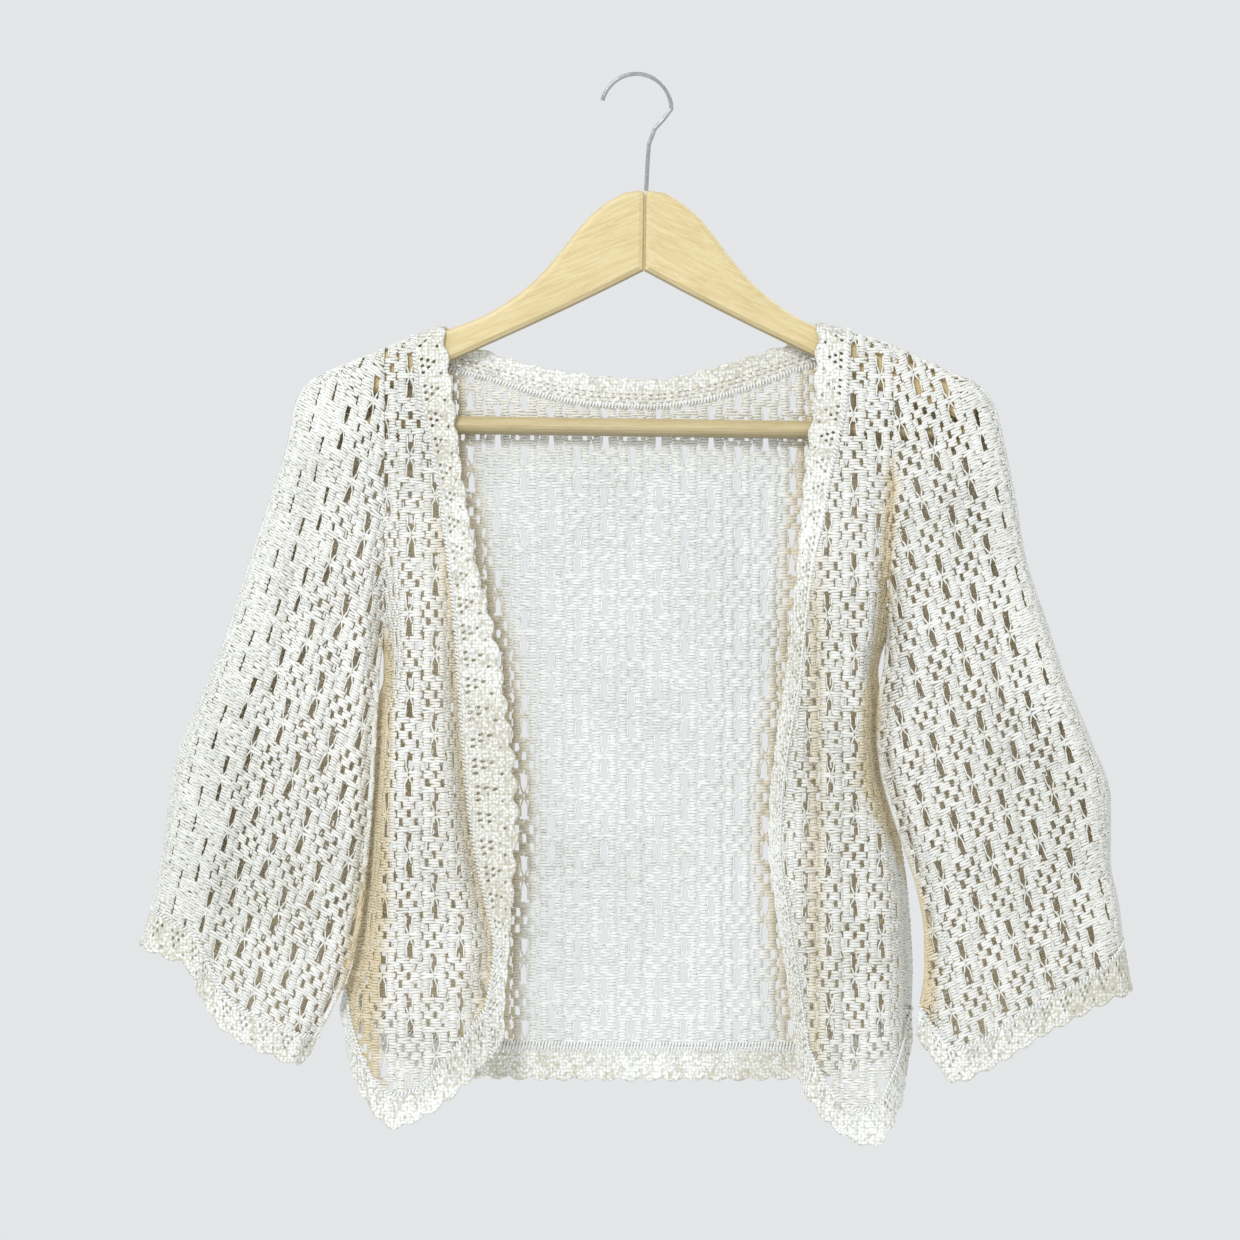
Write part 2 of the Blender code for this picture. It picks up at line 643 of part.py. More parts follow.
def panel(name, shape, lines, outward):
    """A lace panel on its grid of lines, with the eyelets cut through where they are wide enough."""
    us, vs, cut_cols, cut_rows = lines
    u, v = np.meshgrid(us, vs)
    middle, normal = middle_and_normal(shape, u, v, outward)
    gap = SEAM_GAP / 2
    middle[:, 0] = drawn_in(middle[:, 0], middle[:, 1], normal[:, 0], gap)
    middle[:, -1] = drawn_in(middle[:, -1], middle[:, -2], normal[:, -1], gap)
    middle[0] = drawn_in(middle[0], middle[1], normal[0], gap)
    middle[-1] = drawn_in(middle[-1], middle[-2], normal[-1], gap)
    cells = []
    for row in range(len(vs) - 1):
        for col in range(len(us) - 1):
            half_way = (middle[row, col] + middle[row + 1, col]) / 2
            across = (middle[row, col + 1] + middle[row + 1, col + 1]) / 2 - half_way
            if row in cut_rows and col in cut_cols and np.linalg.norm(across) >= LEAST_EYELET:
                continue
            first = row * len(us) + col
            cells.append([first, first + 1, first + 1 + len(us), first + len(us)])
    closed_wall(name, middle.reshape(-1, 3), normal.reshape(-1, 3), cells)


def band(name, shape, seam, edge, along, outward, end_gap):
    """A closed strip from the points of its seam to the points of its scalloped edge.

    seam and edge are each an array of u and one of v, in order of the one that along names.
    """
    rows = []
    for place in (seam, edge):
        rows.append(middle_and_normal(shape, place[0], place[1], outward))
    (middle, normal), (edge_middle, edge_normal) = rows
    over = np.stack([np.interp(seam[along], edge[along], edge_middle[:, k]) for k in range(3)], axis=-1)
    middle = drawn_in(middle, over, normal, SEAM_GAP / 2)
    ends = np.stack([middle[-1], edge_middle[-1]])
    before = np.stack([middle[-2], edge_middle[-2]])
    facing = np.stack([normal[-1], edge_normal[-1]])
    middle[-1], edge_middle[-1] = drawn_in(ends, before, facing, end_gap)
    cells = []
    near, far = 0, 0
    count = len(middle)
    while near < count - 1 or far < len(edge_middle) - 1:
        at_end = far == len(edge_middle) - 1
        seam_next = near < count - 1 and (at_end or seam[along][near + 1] <= edge[along][far + 1])
        if seam_next:
            cells.append([near, near + 1, count + far])
            near += 1
        else:
            cells.append([near, count + far + 1, count + far])
            far += 1
    points = np.concatenate([middle, edge_middle])
    closed_wall(name, points, np.concatenate([normal, edge_normal]), cells)


def add_object(name, points, faces, finish):
    """A mesh object with its own material, without unused points and with its faces outwards."""
    used = sorted({corner for face in faces for corner in face})
    place = {old: new for new, old in enumerate(used)}
    mesh = bpy.data.meshes.new(name)
    mesh.from_pydata([tuple(points[i]) for i in used], [], [[place[c] for c in face] for face in faces])
    mesh.update()
    turn_outwards(mesh)
    mesh.materials.append(material_of(name, finish))
    thing = bpy.data.objects.new(name, mesh)
    bpy.context.collection.objects.link(thing)
    return thing


def material_of(name, finish):
    """A piece's own material."""
    material = bpy.data.materials.new(name)
    material.use_nodes = True
    shader = material.node_tree.nodes["Principled BSDF"]
    shader.inputs["Base Color"].default_value = finish.colour
    shader.inputs["Roughness"].default_value = finish.roughness
    shader.inputs["Metallic"].default_value = finish.metallic
    return material


def turn_outwards(mesh):
    """Flips a closed mesh whose faces point inwards."""
    mesh.calc_loop_triangles()
    volume = 0.0
    for triangle in mesh.loop_triangles:
        a, b, c = (mesh.vertices[i].co for i in triangle.vertices)
        volume += a.dot(b.cross(c))
    if volume < 0:
        mesh.flip_normals()


def eyelet_lines(count, size, length, between):
    """Grid lines in shares of a length, with a cell of the given size for each eyelet, and the
    numbers of those cells."""
    pitch = 1 / count
    half = size / length / 2
    lines = [0.0]
    cells = []
    for k in range(count):
        middle = (k + 0.5) * pitch
        cells.append(len(lines))
        lines += [middle - half, middle + half]
        if k < count - 1 and between:
            lines.append((k + 1) * pitch)
    lines.append(1.0)
    return np.array(lines), cells


def panel_lines(eyelets, width, length):
    """A panel's lines across and down, with close ones over the shoulder, and its eyelet cells."""
    us, cut_cols = eyelet_lines(eyelets[0], EYELET_WIDTH, width, True)
    vs, cut_rows = eyelet_lines(eyelets[1], EYELET_HEIGHT, length, False)
    rim = RIM * SHOULDER_ROUND / length
    vs = np.concatenate([vs[:1], rim, vs[1:]])
    return us, vs, cut_cols, [row + len(rim) for row in cut_rows]


def scallops(length, pitch):
    """Shares along a band's edge, SCALLOP_STEPS to each scallop, and how deep the edge is cut in."""
    count = round(length / pitch)
    shares = np.linspace(0, 1, count * SCALLOP_STEPS + 1)
    return shares, SCALLOP_DEPTH * (1 - np.abs(np.cos(math.pi * shares * count)))


def edge_band(name, shape, length, panel_vs):
    """The band down a front edge, from the shoulder to the hem's corner."""
    shares, depth = scallops(length, EDGE_SCALLOP)
    rim = RIM * SHOULDER_ROUND / length
    edge_v = np.concatenate([shares[:1], rim, shares[2:], [2.0]])
    cut = np.concatenate([depth[:1], 0 * rim, depth[2:], [0.0]]) / FRONT_BAND_WIDTH
    seam_v = np.append(panel_vs, 2.0)
    band(name, shape, (np.ones_like(seam_v), seam_v), (2 - cut, edge_v), 1, -1, 0)


def hem_band(name, shape, length, panel_us, outward, end_gap):
    """A hem or cuff band, from its seam with the panel to its scalloped edge."""
    shares, depth = scallops(length, HEM_SCALLOP)
    seam = (panel_us, np.ones_like(panel_us))
    band(name, shape, seam, (shares, 2 - depth / HEM_BAND_WIDTH), 0, outward, end_gap)


def neck_band(name, shape, length, panel_us):
    """The back neck band, from one shoulder to the other."""
    shares, depth = scallops(length, EDGE_SCALLOP)
    edge_us = shape.first + shares * (shape.last - shape.first)
    seam_us = panel_us[(panel_us >= shape.first) & (panel_us <= shape.last)]
    edge = (edge_us, 1 - depth / FRONT_BAND_WIDTH)
    band(name, shape, (seam_us, np.zeros_like(seam_us)), edge, 0, 1, 0)


def tilted(across, drop):
    """A point of the wood after the hanger's slight tilt about the foot of its hook."""
    low = drop - WOOD_TOP
    turned = across * math.cos(HANGER_TILT) - low * math.sin(HANGER_TILT)
    return turned, WOOD_TOP + across * math.sin(HANGER_TILT) + low * math.cos(HANGER_TILT)


def hanger_arm(name, side):
    """One wooden half: its outline as a plate with rounded edges."""
    upper = line(WOOD_UPPER)(np.linspace(0, 1, WOOD_UPPER_POINTS))
    lower = line(WOOD_LOWER)(np.linspace(0, 1, WOOD_LOWER_POINTS))
    outline = [tuple(p) for p in upper] + [tuple(p) for p in WOOD_END] + [tuple(p) for p in lower]
    outline = [p for i, p in enumerate(outline) if i == 0 or p != outline[i - 1]]
    gap = SEAM_GAP / 2
    count = len(outline)
    points = []
    for depth in (-WOOD_THICKNESS / 2, WOOD_THICKNESS / 2):
        for across, drop in outline:
            at_x, at_drop = tilted(side * max(across, gap), drop)
            points.append(to_metres(np.array([at_x, depth, at_drop])))
    faces = [list(range(count)), [count + i for i in reversed(range(count))]]
    for i in range(count):
        after = (i + 1) % count
        faces.append([after, i, count + i, count + after])
    arm = add_object(name, np.array(points), faces, WOOD)
    bevel = arm.modifiers.new("Rounded edges", "BEVEL")
    bevel.width = WOOD_ROUND * MM
    bevel.segments = WOOD_ROUND_SEGMENTS
    bevel.limit_method = "ANGLE"
    bevel.angle_limit = WOOD_SHARPEST


def hanger_bar(name):
    """The trouser bar between the two arms."""
    points = []
    for across in (-BAR_HALF, BAR_HALF):
        for k in range(BAR_SIDES):
            turn = 2 * math.pi * k / BAR_SIDES
            at_x, at_drop = tilted(across, BAR_DROP + BAR_RADIUS * math.cos(turn))
            points.append(to_metres(np.array([at_x, BAR_RADIUS * math.sin(turn), at_drop])))
    faces = [list(range(BAR_SIDES)), [BAR_SIDES + i for i in reversed(range(BAR_SIDES))]]
    for i in range(BAR_SIDES):
        after = (i + 1) % BAR_SIDES
        faces.append([after, i, BAR_SIDES + i, BAR_SIDES + after])
    add_object(name, np.array(points), faces, WOOD)


def hanger_hook(name):
    """The wire hook: a stem that bends to one side, then a round hook over the rail."""
    route = [(p.across, p.drop) for p in HOOK_STEM]
    top = HOOK_RADIUS - WIRE_RADIUS
    for k in range(ARC_STEPS + 1):
        turn = HOOK_OPENING * k / ARC_STEPS
        route.append((-HOOK_OFFSET + HOOK_RADIUS * math.cos(turn), top - HOOK_RADIUS * math.sin(turn)))
    curve = bpy.data.curves.new(name, "CURVE")
    curve.dimensions = "3D"
    curve.bevel_depth = WIRE_RADIUS * MM
    curve.bevel_resolution = WIRE_ROUNDNESS
    curve.use_fill_caps = True
    spline = curve.splines.new("POLY")
    spline.points.add(len(route) - 1)
    for point, (across, drop) in zip(spline.points, route, strict=True):
        point.co = (*to_metres(np.array([across, 0.0, drop])), 1.0)
    curve.materials.append(material_of(name, STEEL))
    hook = bpy.data.objects.new(name, curve)
    bpy.context.collection.objects.link(hook)


def fronts():
    """The two front panels with their edge and hem bands."""
    left = Front(
        LEFT_SHOULDER, LEFT_SIDE, LEFT_SEAM, LEFT_EDGE, LEFT_HEM, LEFT_BOTTOM, LEFT_CORNER,
        LEFT_HANG, LEFT_FOLDS, soft_fall, LEFT_RIDGE,
    )
    right = Front(
        RIGHT_SHOULDER, RIGHT_SIDE, RIGHT_SEAM, RIGHT_EDGE, RIGHT_HEM, RIGHT_BOTTOM, RIGHT_CORNER,
        RIGHT_HANG, RIGHT_FOLDS, round_fall, RIGHT_RIDGE,
    )
    lines = panel_lines(FRONT_EYELETS, FRONT_WIDTH, PANEL_LENGTH)
    pieces = (("left", left, LEFT_SEAM, LEFT_HEM), ("right", right, RIGHT_SEAM, RIGHT_HEM))
    for word, shape, seam, hem in pieces:
        panel("front_" + word, shape, lines, -1)
        edge_band("band_front_" + word, shape, length_of(seam), lines[1])
        hem_band("band_hem_" + word, shape, length_of(hem), lines[0], -1, SEAM_GAP / 2)


def back():
    """The back panel with its hem band and neck band."""
    shape = Back()
    us, vs, cut_cols, cut_rows = panel_lines(BACK_EYELETS, BACK_WIDTH, PANEL_LENGTH)
    first, last = shape.joints[1], shape.joints[2]
    steps = np.array(NECK_STEPS) / BACK_WIDTH
    ends = np.concatenate([first + steps, last - steps])
    moved = [col + int((ends < us[col]).sum()) for col in cut_cols]
    us = np.sort(np.concatenate([us, ends]))
    panel("back_panel", shape, (us, vs, moved, cut_rows), 1)
    hem_band("band_hem_back", shape, length_of(BACK_HEM), us, 1, 0)
    neck_band("band_neck_back", NeckBand(), length_of(NECK_SEAM), us)


def sleeves():
    """Both layers of each sleeve with their cuffs."""
    us, vs, cut_cols, cut_rows = panel_lines(SLEEVE_EYELETS, SLEEVE_WIDTH, PANEL_LENGTH)
    rim = RIM[:-1] * TUBE_ROLL / SLEEVE_WIDTH
    us = np.concatenate([us[:1], rim, us[1:]])
    lines = us, vs, [col + len(rim) for col in cut_cols], cut_rows
    for layer, outward in (("front", -1), ("back", 1)):
        left = Sleeve(
            LEFT_CAP, LEFT_CUFF_SEAM, LEFT_CUFF_EDGE, LEFT_OUTER, LEFT_INNER, LEFT_TUBE,
            LEFT_SLEEVE_FOLDS, LEFT_RIDGE, layer,
        )
        right = Sleeve(
            RIGHT_CAP, RIGHT_CUFF_SEAM, RIGHT_CUFF_EDGE, RIGHT_OUTER, RIGHT_INNER, RIGHT_TUBE,
            RIGHT_SLEEVE_FOLDS, RIGHT_RIDGE, layer,
        )
        for word, shape, seam in (("left", left, LEFT_CUFF_SEAM), ("right", right, RIGHT_CUFF_SEAM)):
            panel(f"sleeve_{word}_{layer}", shape, lines, outward)
            hem_band(f"cuff_{word}_{layer}", shape, length_of(seam), us, outward, 0)


def hanger():
    """The wooden halves, the bar and the hook."""
    hanger_arm("hanger_arm_left", -1)
    hanger_arm("hanger_arm_right", 1)
    hanger_bar("hanger_bar")
    hanger_hook("hanger_hook")


def main():
    for thing in list(bpy.data.objects):
        bpy.data.objects.remove(thing)
    hanger()
    back()
    fronts()
    sleeves()


main()
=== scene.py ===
"""Looks of the openwork cardigan on its hanger.

Every cloth piece of the part gets a lace mesh on its own form: rows of stitched ribs, charted for one
repeat, are laid over the cloth by Geometry Nodes. The bands, seams, wood and wire follow in turn.
Tables are in millimetres: across runs to the viewer's right from the hanger's joint line, drop runs
down from the hook's rest, and depth runs away from the viewer.
"""

import math
from collections import namedtuple

import bpy
import numpy as np
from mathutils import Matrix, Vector


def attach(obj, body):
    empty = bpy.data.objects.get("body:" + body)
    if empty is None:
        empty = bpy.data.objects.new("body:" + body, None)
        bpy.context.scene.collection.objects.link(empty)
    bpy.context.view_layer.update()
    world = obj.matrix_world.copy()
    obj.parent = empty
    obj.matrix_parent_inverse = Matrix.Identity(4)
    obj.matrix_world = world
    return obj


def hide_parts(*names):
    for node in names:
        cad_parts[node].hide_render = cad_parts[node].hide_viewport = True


bl_info = {
    "name": "Openwork cardigan",
    "version": (1, 0, 0),
    "blender": (4, 5, 0),
    "location": "3D View > Sidebar > Cardigan",
    "description": "Dresses a cropped openwork cardigan on a wooden hanger",
    "category": "Object",
}

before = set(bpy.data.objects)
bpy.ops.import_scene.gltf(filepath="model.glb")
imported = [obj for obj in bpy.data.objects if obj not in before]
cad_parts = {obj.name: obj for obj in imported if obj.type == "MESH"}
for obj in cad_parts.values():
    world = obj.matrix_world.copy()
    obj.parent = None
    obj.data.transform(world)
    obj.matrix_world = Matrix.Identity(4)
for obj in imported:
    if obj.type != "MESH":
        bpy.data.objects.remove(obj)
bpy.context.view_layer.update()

MM = 0.001
HOOK_OFFSET = 5.6
BODY = "root"

At = namedtuple("At", "across drop")
Hang = namedtuple("Hang", "drop flat side seam edge roll turn")
Tube = namedtuple("Tube", "drop front back inner")
Fold = namedtuple("Fold", "top_across top bottom_across bottom height width")
Rib = namedtuple("Rib", "across row length thick")

# Sizes of the garment's form, as in the part
WALL = 1.6
SEAM_GAP = 0.3
LAP = WALL / 2 + SEAM_GAP
PINCH = 0.3
SHOULDER_ROUND = 8.0

# Shoulder lines, from the neck band's edge past the sleeve's outer line
LEFT_RIDGE = [
    At(-112, 155.5), At(-131, 163), At(-152, 171), At(-170, 178), At(-209, 194), At(-240, 207),
]
RIGHT_RIDGE = [
    At(112, 161), At(133, 167), At(162, 176), At(214, 200), At(240, 212),
]

# Armholes, from the shoulder to the underarm
LEFT_ARMHOLE = [At(-170, 178), At(-170, 245), At(-170.5, 310), At(-171, 364)]
RIGHT_ARMHOLE = [At(162, 176), At(162, 245), At(160.5, 310), At(158, 364)]
UNDERARM_DROP = 364.0
UNDERARM_EASE = 25.0
ROUND_FROM = 378.0
FLANGE = 6.0
FLANGE_SHARE = 0.14

# Left front, as the viewer sees it: outline curves of the panel and its bands
LEFT_SHOULDER = [At(-170, 178), At(-152, 171)]
LEFT_SIDE = LEFT_ARMHOLE + [
    At(-169.8, 378), At(-170, 390), At(-176.5, 414), At(-179.5, 460), At(-183, 506),
    At(-187.5, 552), At(-191, 580), At(-196, 596),
]
LEFT_SEAM = [
    At(-152, 171), At(-147, 212), At(-139, 245), At(-133, 277), At(-128, 317), At(-124, 356),
    At(-121, 408), At(-116, 473), At(-109, 519), At(-101, 552), At(-98, 572), At(-100, 588),
    At(-104, 609),
]
LEFT_EDGE = [
    At(-131, 163), At(-124, 212), At(-121, 245), At(-116, 277), At(-110, 317), At(-101, 349),
    At(-95, 375), At(-90, 408), At(-85, 440), At(-82, 485), At(-84, 515), At(-87, 550),
    At(-91, 604),
]
LEFT_HEM = [
    At(-196, 596), At(-188, 627), At(-176, 654), At(-162, 664), At(-146, 659),
    At(-131, 643), At(-118, 627), At(-104, 609),
]
LEFT_BOTTOM = [
    At(-200, 612), At(-192, 646), At(-182, 668), At(-163, 687), At(-149, 682),
    At(-133, 673), At(-118, 660), At(-100, 640),
]
LEFT_CORNER = At(-92, 630)

# Right front
RIGHT_SHOULDER = [At(162, 176), At(133, 167)]
RIGHT_SIDE = RIGHT_ARMHOLE + [
    At(154.6, 376), At(152.5, 388), At(154.2, 412), At(153.6, 428), At(155.5, 452), At(161, 477),
    At(167, 500), At(171.5, 530), At(174, 560), At(175, 585), At(174, 610),
]
RIGHT_SEAM = [
    At(133, 167), At(131, 212), At(126, 238), At(120, 264), At(116, 290), At(110, 317),
    At(106, 350), At(101, 400), At(95, 434), At(90, 473), At(89, 506), At(93, 539),
    At(98, 572), At(103, 604), At(107, 634),
]
RIGHT_EDGE = [
    At(112, 161), At(111, 179), At(109, 212), At(105, 245), At(102, 275), At(99, 317),
    At(96, 350), At(91, 400), At(86, 434), At(82, 473), At(81, 506), At(85, 539),
    At(90, 572), At(95, 604), At(98, 630),
]
RIGHT_HEM = [
    At(174, 610), At(167, 632), At(159, 654), At(149, 672), At(138, 674), At(124, 664),
    At(114, 650), At(107, 634),
]
RIGHT_BOTTOM = [
    At(175, 632), At(168, 666), At(159, 688), At(149, 699), At(135, 695), At(119, 684),
    At(108, 670), At(104, 664),
]
RIGHT_CORNER = At(101, 654)

# Back panel with its neck and hem bands
NECK_SEAM = [
    At(-152, 171), At(-149, 181), At(-140, 187), At(-128, 191), At(-94, 200), At(-61, 210),
    At(-28, 215), At(4, 216), At(37, 212), At(69, 203), At(99, 192), At(122, 184),
    At(130, 177), At(133, 167),
]
BACK_HEM = [
    At(-196, 596), At(-177, 614), At(-147, 629), At(-118, 634), At(-3, 636), At(101, 636),
    At(128, 632), At(154, 622), At(174, 610),
]
BACK_BOTTOM = [
    At(-200, 612), At(-180, 636), At(-147, 651), At(-118, 657), At(-3, 659), At(101, 658),
    At(134, 653), At(160, 643), At(175, 632),
]
NECK_EDGE = [
    At(-131, 163), At(-119, 173), At(-101, 180), At(-61, 191), At(-22, 196), At(4, 198),
    At(29, 194), At(61, 185), At(86, 177), At(101, 171), At(112, 161),
]

# Sleeves: shoulder line, outer line, armhole and inner line, cuff seam and cuff edge
LEFT_CAP = [At(-209, 194), At(-170, 178)]
LEFT_OUTER = [
    At(-209, 194), At(-220, 201), At(-228, 213), At(-233, 238), At(-245, 277), At(-258, 317),
    At(-275, 369), At(-294, 415), At(-304, 438), At(-309, 460), At(-314, 500), At(-322, 544),
]
LEFT_INNER = LEFT_ARMHOLE + [
    At(-173, 385), At(-174, 408), At(-176.5, 460), At(-180, 506), At(-185, 552), At(-193, 585),
    At(-202, 606), At(-213, 627),
]
LEFT_CUFF_SEAM = [
    At(-322, 544), At(-308, 552), At(-294, 560), At(-283, 582), At(-273, 600), At(-258, 611),
    At(-237, 620), At(-222, 626), At(-213, 627),
]
LEFT_CUFF_EDGE = [
    At(-330, 568), At(-317, 575), At(-300, 581), At(-288, 605), At(-277, 621), At(-262, 632),
    At(-241, 641), At(-227, 646), At(-219, 640),
]
RIGHT_CAP = [At(214, 200), At(162, 176)]
RIGHT_OUTER = [
    At(214, 200), At(223, 207), At(229, 218), At(234, 238), At(242, 277), At(249, 317),
    At(262, 356), At(275, 395), At(291, 434), At(304, 473), At(304, 513), At(310, 544),
    At(312, 565),
]
RIGHT_INNER = RIGHT_ARMHOLE + [
    At(156, 385), At(151.5, 410), At(150.5, 428), At(153, 452), At(159.5, 477), At(169, 505),
    At(177, 530), At(182, 560), At(182, 585), At(179, 607),
]
RIGHT_CUFF_SEAM = [
    At(312, 565), At(301, 579), At(284, 591), At(264, 602), At(244, 612), At(222, 627),
    At(203, 634), At(190, 624), At(179, 607),
]
RIGHT_CUFF_EDGE = [
    At(318, 598), At(312, 601), At(297, 607), At(276, 618), At(256, 629), At(225, 648),
    At(201, 658), At(190, 645), At(177, 628),
]

# How the fronts hang: depth of the flat part, side edge, band seam and scalloped edge, width of
# the roll into the side and of the turn into the band
LEFT_HANG = [
    Hang(160, -8.8, -8.8, -8.8, -8.8, 10, 10),
    Hang(215, -10, -9, -10, -10, 10, 10),
    Hang(250, -13, -9.5, -13, -13, 12, 12),
    Hang(310, -19, -7, -18, -17, 14, 12),
    Hang(345, -23, 0, -16, -14, 15, 12),
    Hang(364, -25, 3, -13, -12, 16, 12),
    Hang(400, -28, 4, -9, -9, 18, 12),
    Hang(470, -32, 5, -7, -8, 20, 12),
    Hang(540, -34, 5, -8, -8, 24, 13),
    Hang(580, -33, 5, -13, -10, 26, 16),
    Hang(606, -30, 5, -19, -13, 26, 20),
    Hang(700, -26, 5, -19, -13, 26, 20),
]
RIGHT_HANG = [
    Hang(160, -8.8, -8.8, -8.8, -8.8, 10, 8),
    Hang(215, -10, -9, -10, -10, 10, 8),
    Hang(250, -13, -9.5, -13, -13, 12, 8),
    Hang(310, -19, -7, -18, -15, 14, 8),
    Hang(345, -23, 0, -19, -8, 14, 8),
    Hang(364, -25, 3, -19, -5, 14, 8),
    Hang(400, -28, 4, -19, -3, 14, 9),
    Hang(470, -32, 5, -20, -3, 18, 9),
    Hang(540, -33, 5, -20, -3, 22, 9),
    Hang(606, -31, 5, -20, -3, 24, 10),
    Hang(700, -26, 5, -18, -4, 24, 10),
]
BACK_HANG = [
    Hang(160, 8.8, 8.8, 8.8, 8.8, 8, 0),
    Hang(250, 9.5, 9.5, 9.5, 9.5, 8, 0),
    Hang(310, 12, 9, 12, 12, 10, 0),
    Hang(345, 14, 6, 14, 14, 12, 0),
    Hang(364, 15, 5.4, 15, 15, 14, 0),
    Hang(400, 16, 6.4, 16, 16, 14, 0),
    Hang(470, 17, 7.2, 17, 17, 14, 0),
    Hang(700, 18, 7.2, 18, 18, 14, 0),
]
# How the sleeves hang: depth of the front and back layers, and of the front layer's inner line
LEFT_TUBE = [
    Tube(160, -8.8, 8.8, -8.8), Tube(250, -10, 10, -9.5), Tube(310, -14, 13, -7),
    Tube(345, -17, 14, 0), Tube(364, -18, 14, 3), Tube(385, -19, 13, -3), Tube(420, -20, 12, -10),
    Tube(560, -21, 10, -12), Tube(660, -20, 9, -12),
]
RIGHT_TUBE = [
    Tube(160, -8.8, 8.8, -8.8), Tube(250, -10, 10, -9.5), Tube(310, -14, 13, -7),
    Tube(345, -17, 14, 0), Tube(364, -18, 14, 3), Tube(385, -20, 13, -3), Tube(420, -22, 12, -10),
    Tube(560, -22, 10, -12), Tube(660, -20, 9, -12),
]
TUBE_ROLL = 12.0
TUBE_SLOPE = 40.0

# Creases, from the top of each to its foot: height is positive for a trough seen from outside
LEFT_FOLDS = [
    Fold(-141, 360, -139, 640, 3.0, 5.0),
    Fold(-155, 420, -160, 620, -2.5, 6.0),
]
RIGHT_FOLDS = [
    Fold(112, 330, 109, 610, 7.0, 5.0),
    Fold(131, 380, 130, 640, 2.5, 4.0),
    Fold(123, 380, 122, 640, -2.0, 4.0),
]
BACK_FOLDS = [
    Fold(-104, 300, -96, 660, 2.5, 9.0),
    Fold(-60, 240, -64, 660, -2.0, 12.0),
    Fold(-2, 230, 1, 660, 2.5, 9.0),
    Fold(45, 260, 41, 660, -2.0, 13.0),
    Fold(92, 300, 95, 660, 2.5, 9.0),
    Fold(135, 380, 138, 640, -2.0, 10.0),
    Fold(-146, 380, -150, 640, -2.0, 10.0),
]
LEFT_SLEEVE_FOLDS = [
    Fold(-206, 230, -288, 610, 6.0, 7.0),
    Fold(-222, 330, -246, 620, -2.5, 9.0),
    Fold(-196, 330, -214, 600, 2.0, 8.0),
]
RIGHT_SLEEVE_FOLDS = [
    Fold(195, 250, 214, 610, -2.5, 8.0),
    Fold(228, 340, 262, 620, 5.0, 8.0),
    Fold(179, 500, 190, 600, 5.0, 6.0),
]
CREASE_END = 40.0

# Shares of a panel from its corners within which the direction across it is read further inside
CORNER = 0.01
LOW_CORNER = 0.03


def smooth(value, places, heights):
    """The table's height at each value, on a curve that never overshoots its rows."""
    places = np.asarray(places, float)
    heights = np.asarray(heights, float)
    value = np.clip(value, places[0], places[-1])
    steps = np.diff(places)
    slopes = np.diff(heights) / steps
    tangents = np.zeros_like(heights)
    tangents[0] = slopes[0]
    tangents[-1] = slopes[-1]
    before, after = slopes[:-1], slopes[1:]
    same_way = before * after > 0
    near = 2 * steps[1:] + steps[:-1]
    far = steps[1:] + 2 * steps[:-1]
    harmonic = (near + far)[same_way] / (near[same_way] / before[same_way] + far[same_way] / after[same_way])
    tangents[1:-1][same_way] = harmonic
    row = np.clip(np.searchsorted(places, value, side="right") - 1, 0, len(steps) - 1)
    t = (value - places[row]) / steps[row]
    return (
        (1 + 2 * t) * (1 - t) ** 2 * heights[row]
        + t * (1 - t) ** 2 * steps[row] * tangents[row]
        + t * t * (3 - 2 * t) * heights[row + 1]
        + t * t * (t - 1) * steps[row] * tangents[row + 1]
    )


def line(points):
    """A curve through points, as a function of the share of its length."""
    places = np.array(points, float)
    reach = np.concatenate([[0.0], np.cumsum(np.hypot(*np.diff(places, axis=0).T))])
    share = reach / reach[-1]
    return lambda t: np.stack([smooth(t, share, places[:, 0]), smooth(t, share, places[:, 1])], axis=-1)


def sideways(curve, beyond):
    """Across at each drop along a curve that runs down, and past its foot to one place more."""
    places = np.concatenate([curve(np.linspace(0, 1, 401)), np.array([beyond], float)])
    return lambda drop: np.interp(drop, places[:, 1], places[:, 0])


def joined(*runs):
    """Runs of points end to end as one curve with sharp joints, and the share at each joint."""
    lengths = [length_of(run) for run in runs]
    reach = np.concatenate([[0.0], np.cumsum(lengths)]) / sum(lengths)
    curves = [line(run) for run in runs]

    def place(t):
        t = np.asarray(t, float)
        at = curves[0](t / reach[1])
        for curve, first, last in list(zip(curves, reach[:-1], reach[1:], strict=True))[1:]:
            at = np.where((t > first)[..., None], curve((t - first) / (last - first)), at)
        return at

    return place, reach


def length_of(points):
    places = np.array(points, float)
    return float(np.hypot(*np.diff(places, axis=0).T).sum())


def patch(top, bottom, left, right, u, v):
    """The place inside four outline curves, u from left to right and v from top to bottom."""
    u = u[..., None]
    v = v[..., None]
    ends = (
        (1 - u) * (1 - v) * top(np.zeros(1))
        + u * (1 - v) * top(np.ones(1))
        + (1 - u) * v * bottom(np.zeros(1))
        + u * v * bottom(np.ones(1))
    )
    flat_u = u[..., 0]
    flat_v = v[..., 0]
    return (1 - v) * top(flat_u) + v * bottom(flat_u) + (1 - u) * left(flat_v) + u * right(flat_v) - ends


def column(table, name, drop):
    """A hang table's named column at each drop."""
    return smooth(drop, [row.drop for row in table], [getattr(row, name) for row in table])


def round_fall(share):
    """1 at an edge that turns away, falling to 0 on a quarter round."""
    share = np.clip(share, 0, 1)
    return 1 - np.sqrt(1 - (1 - share) ** 2)


def soft_fall(share):
    """1 at an edge, falling softly to 0."""
    share = np.clip(share, 0, 1)
    return 1 - share * share * (3 - 2 * share)


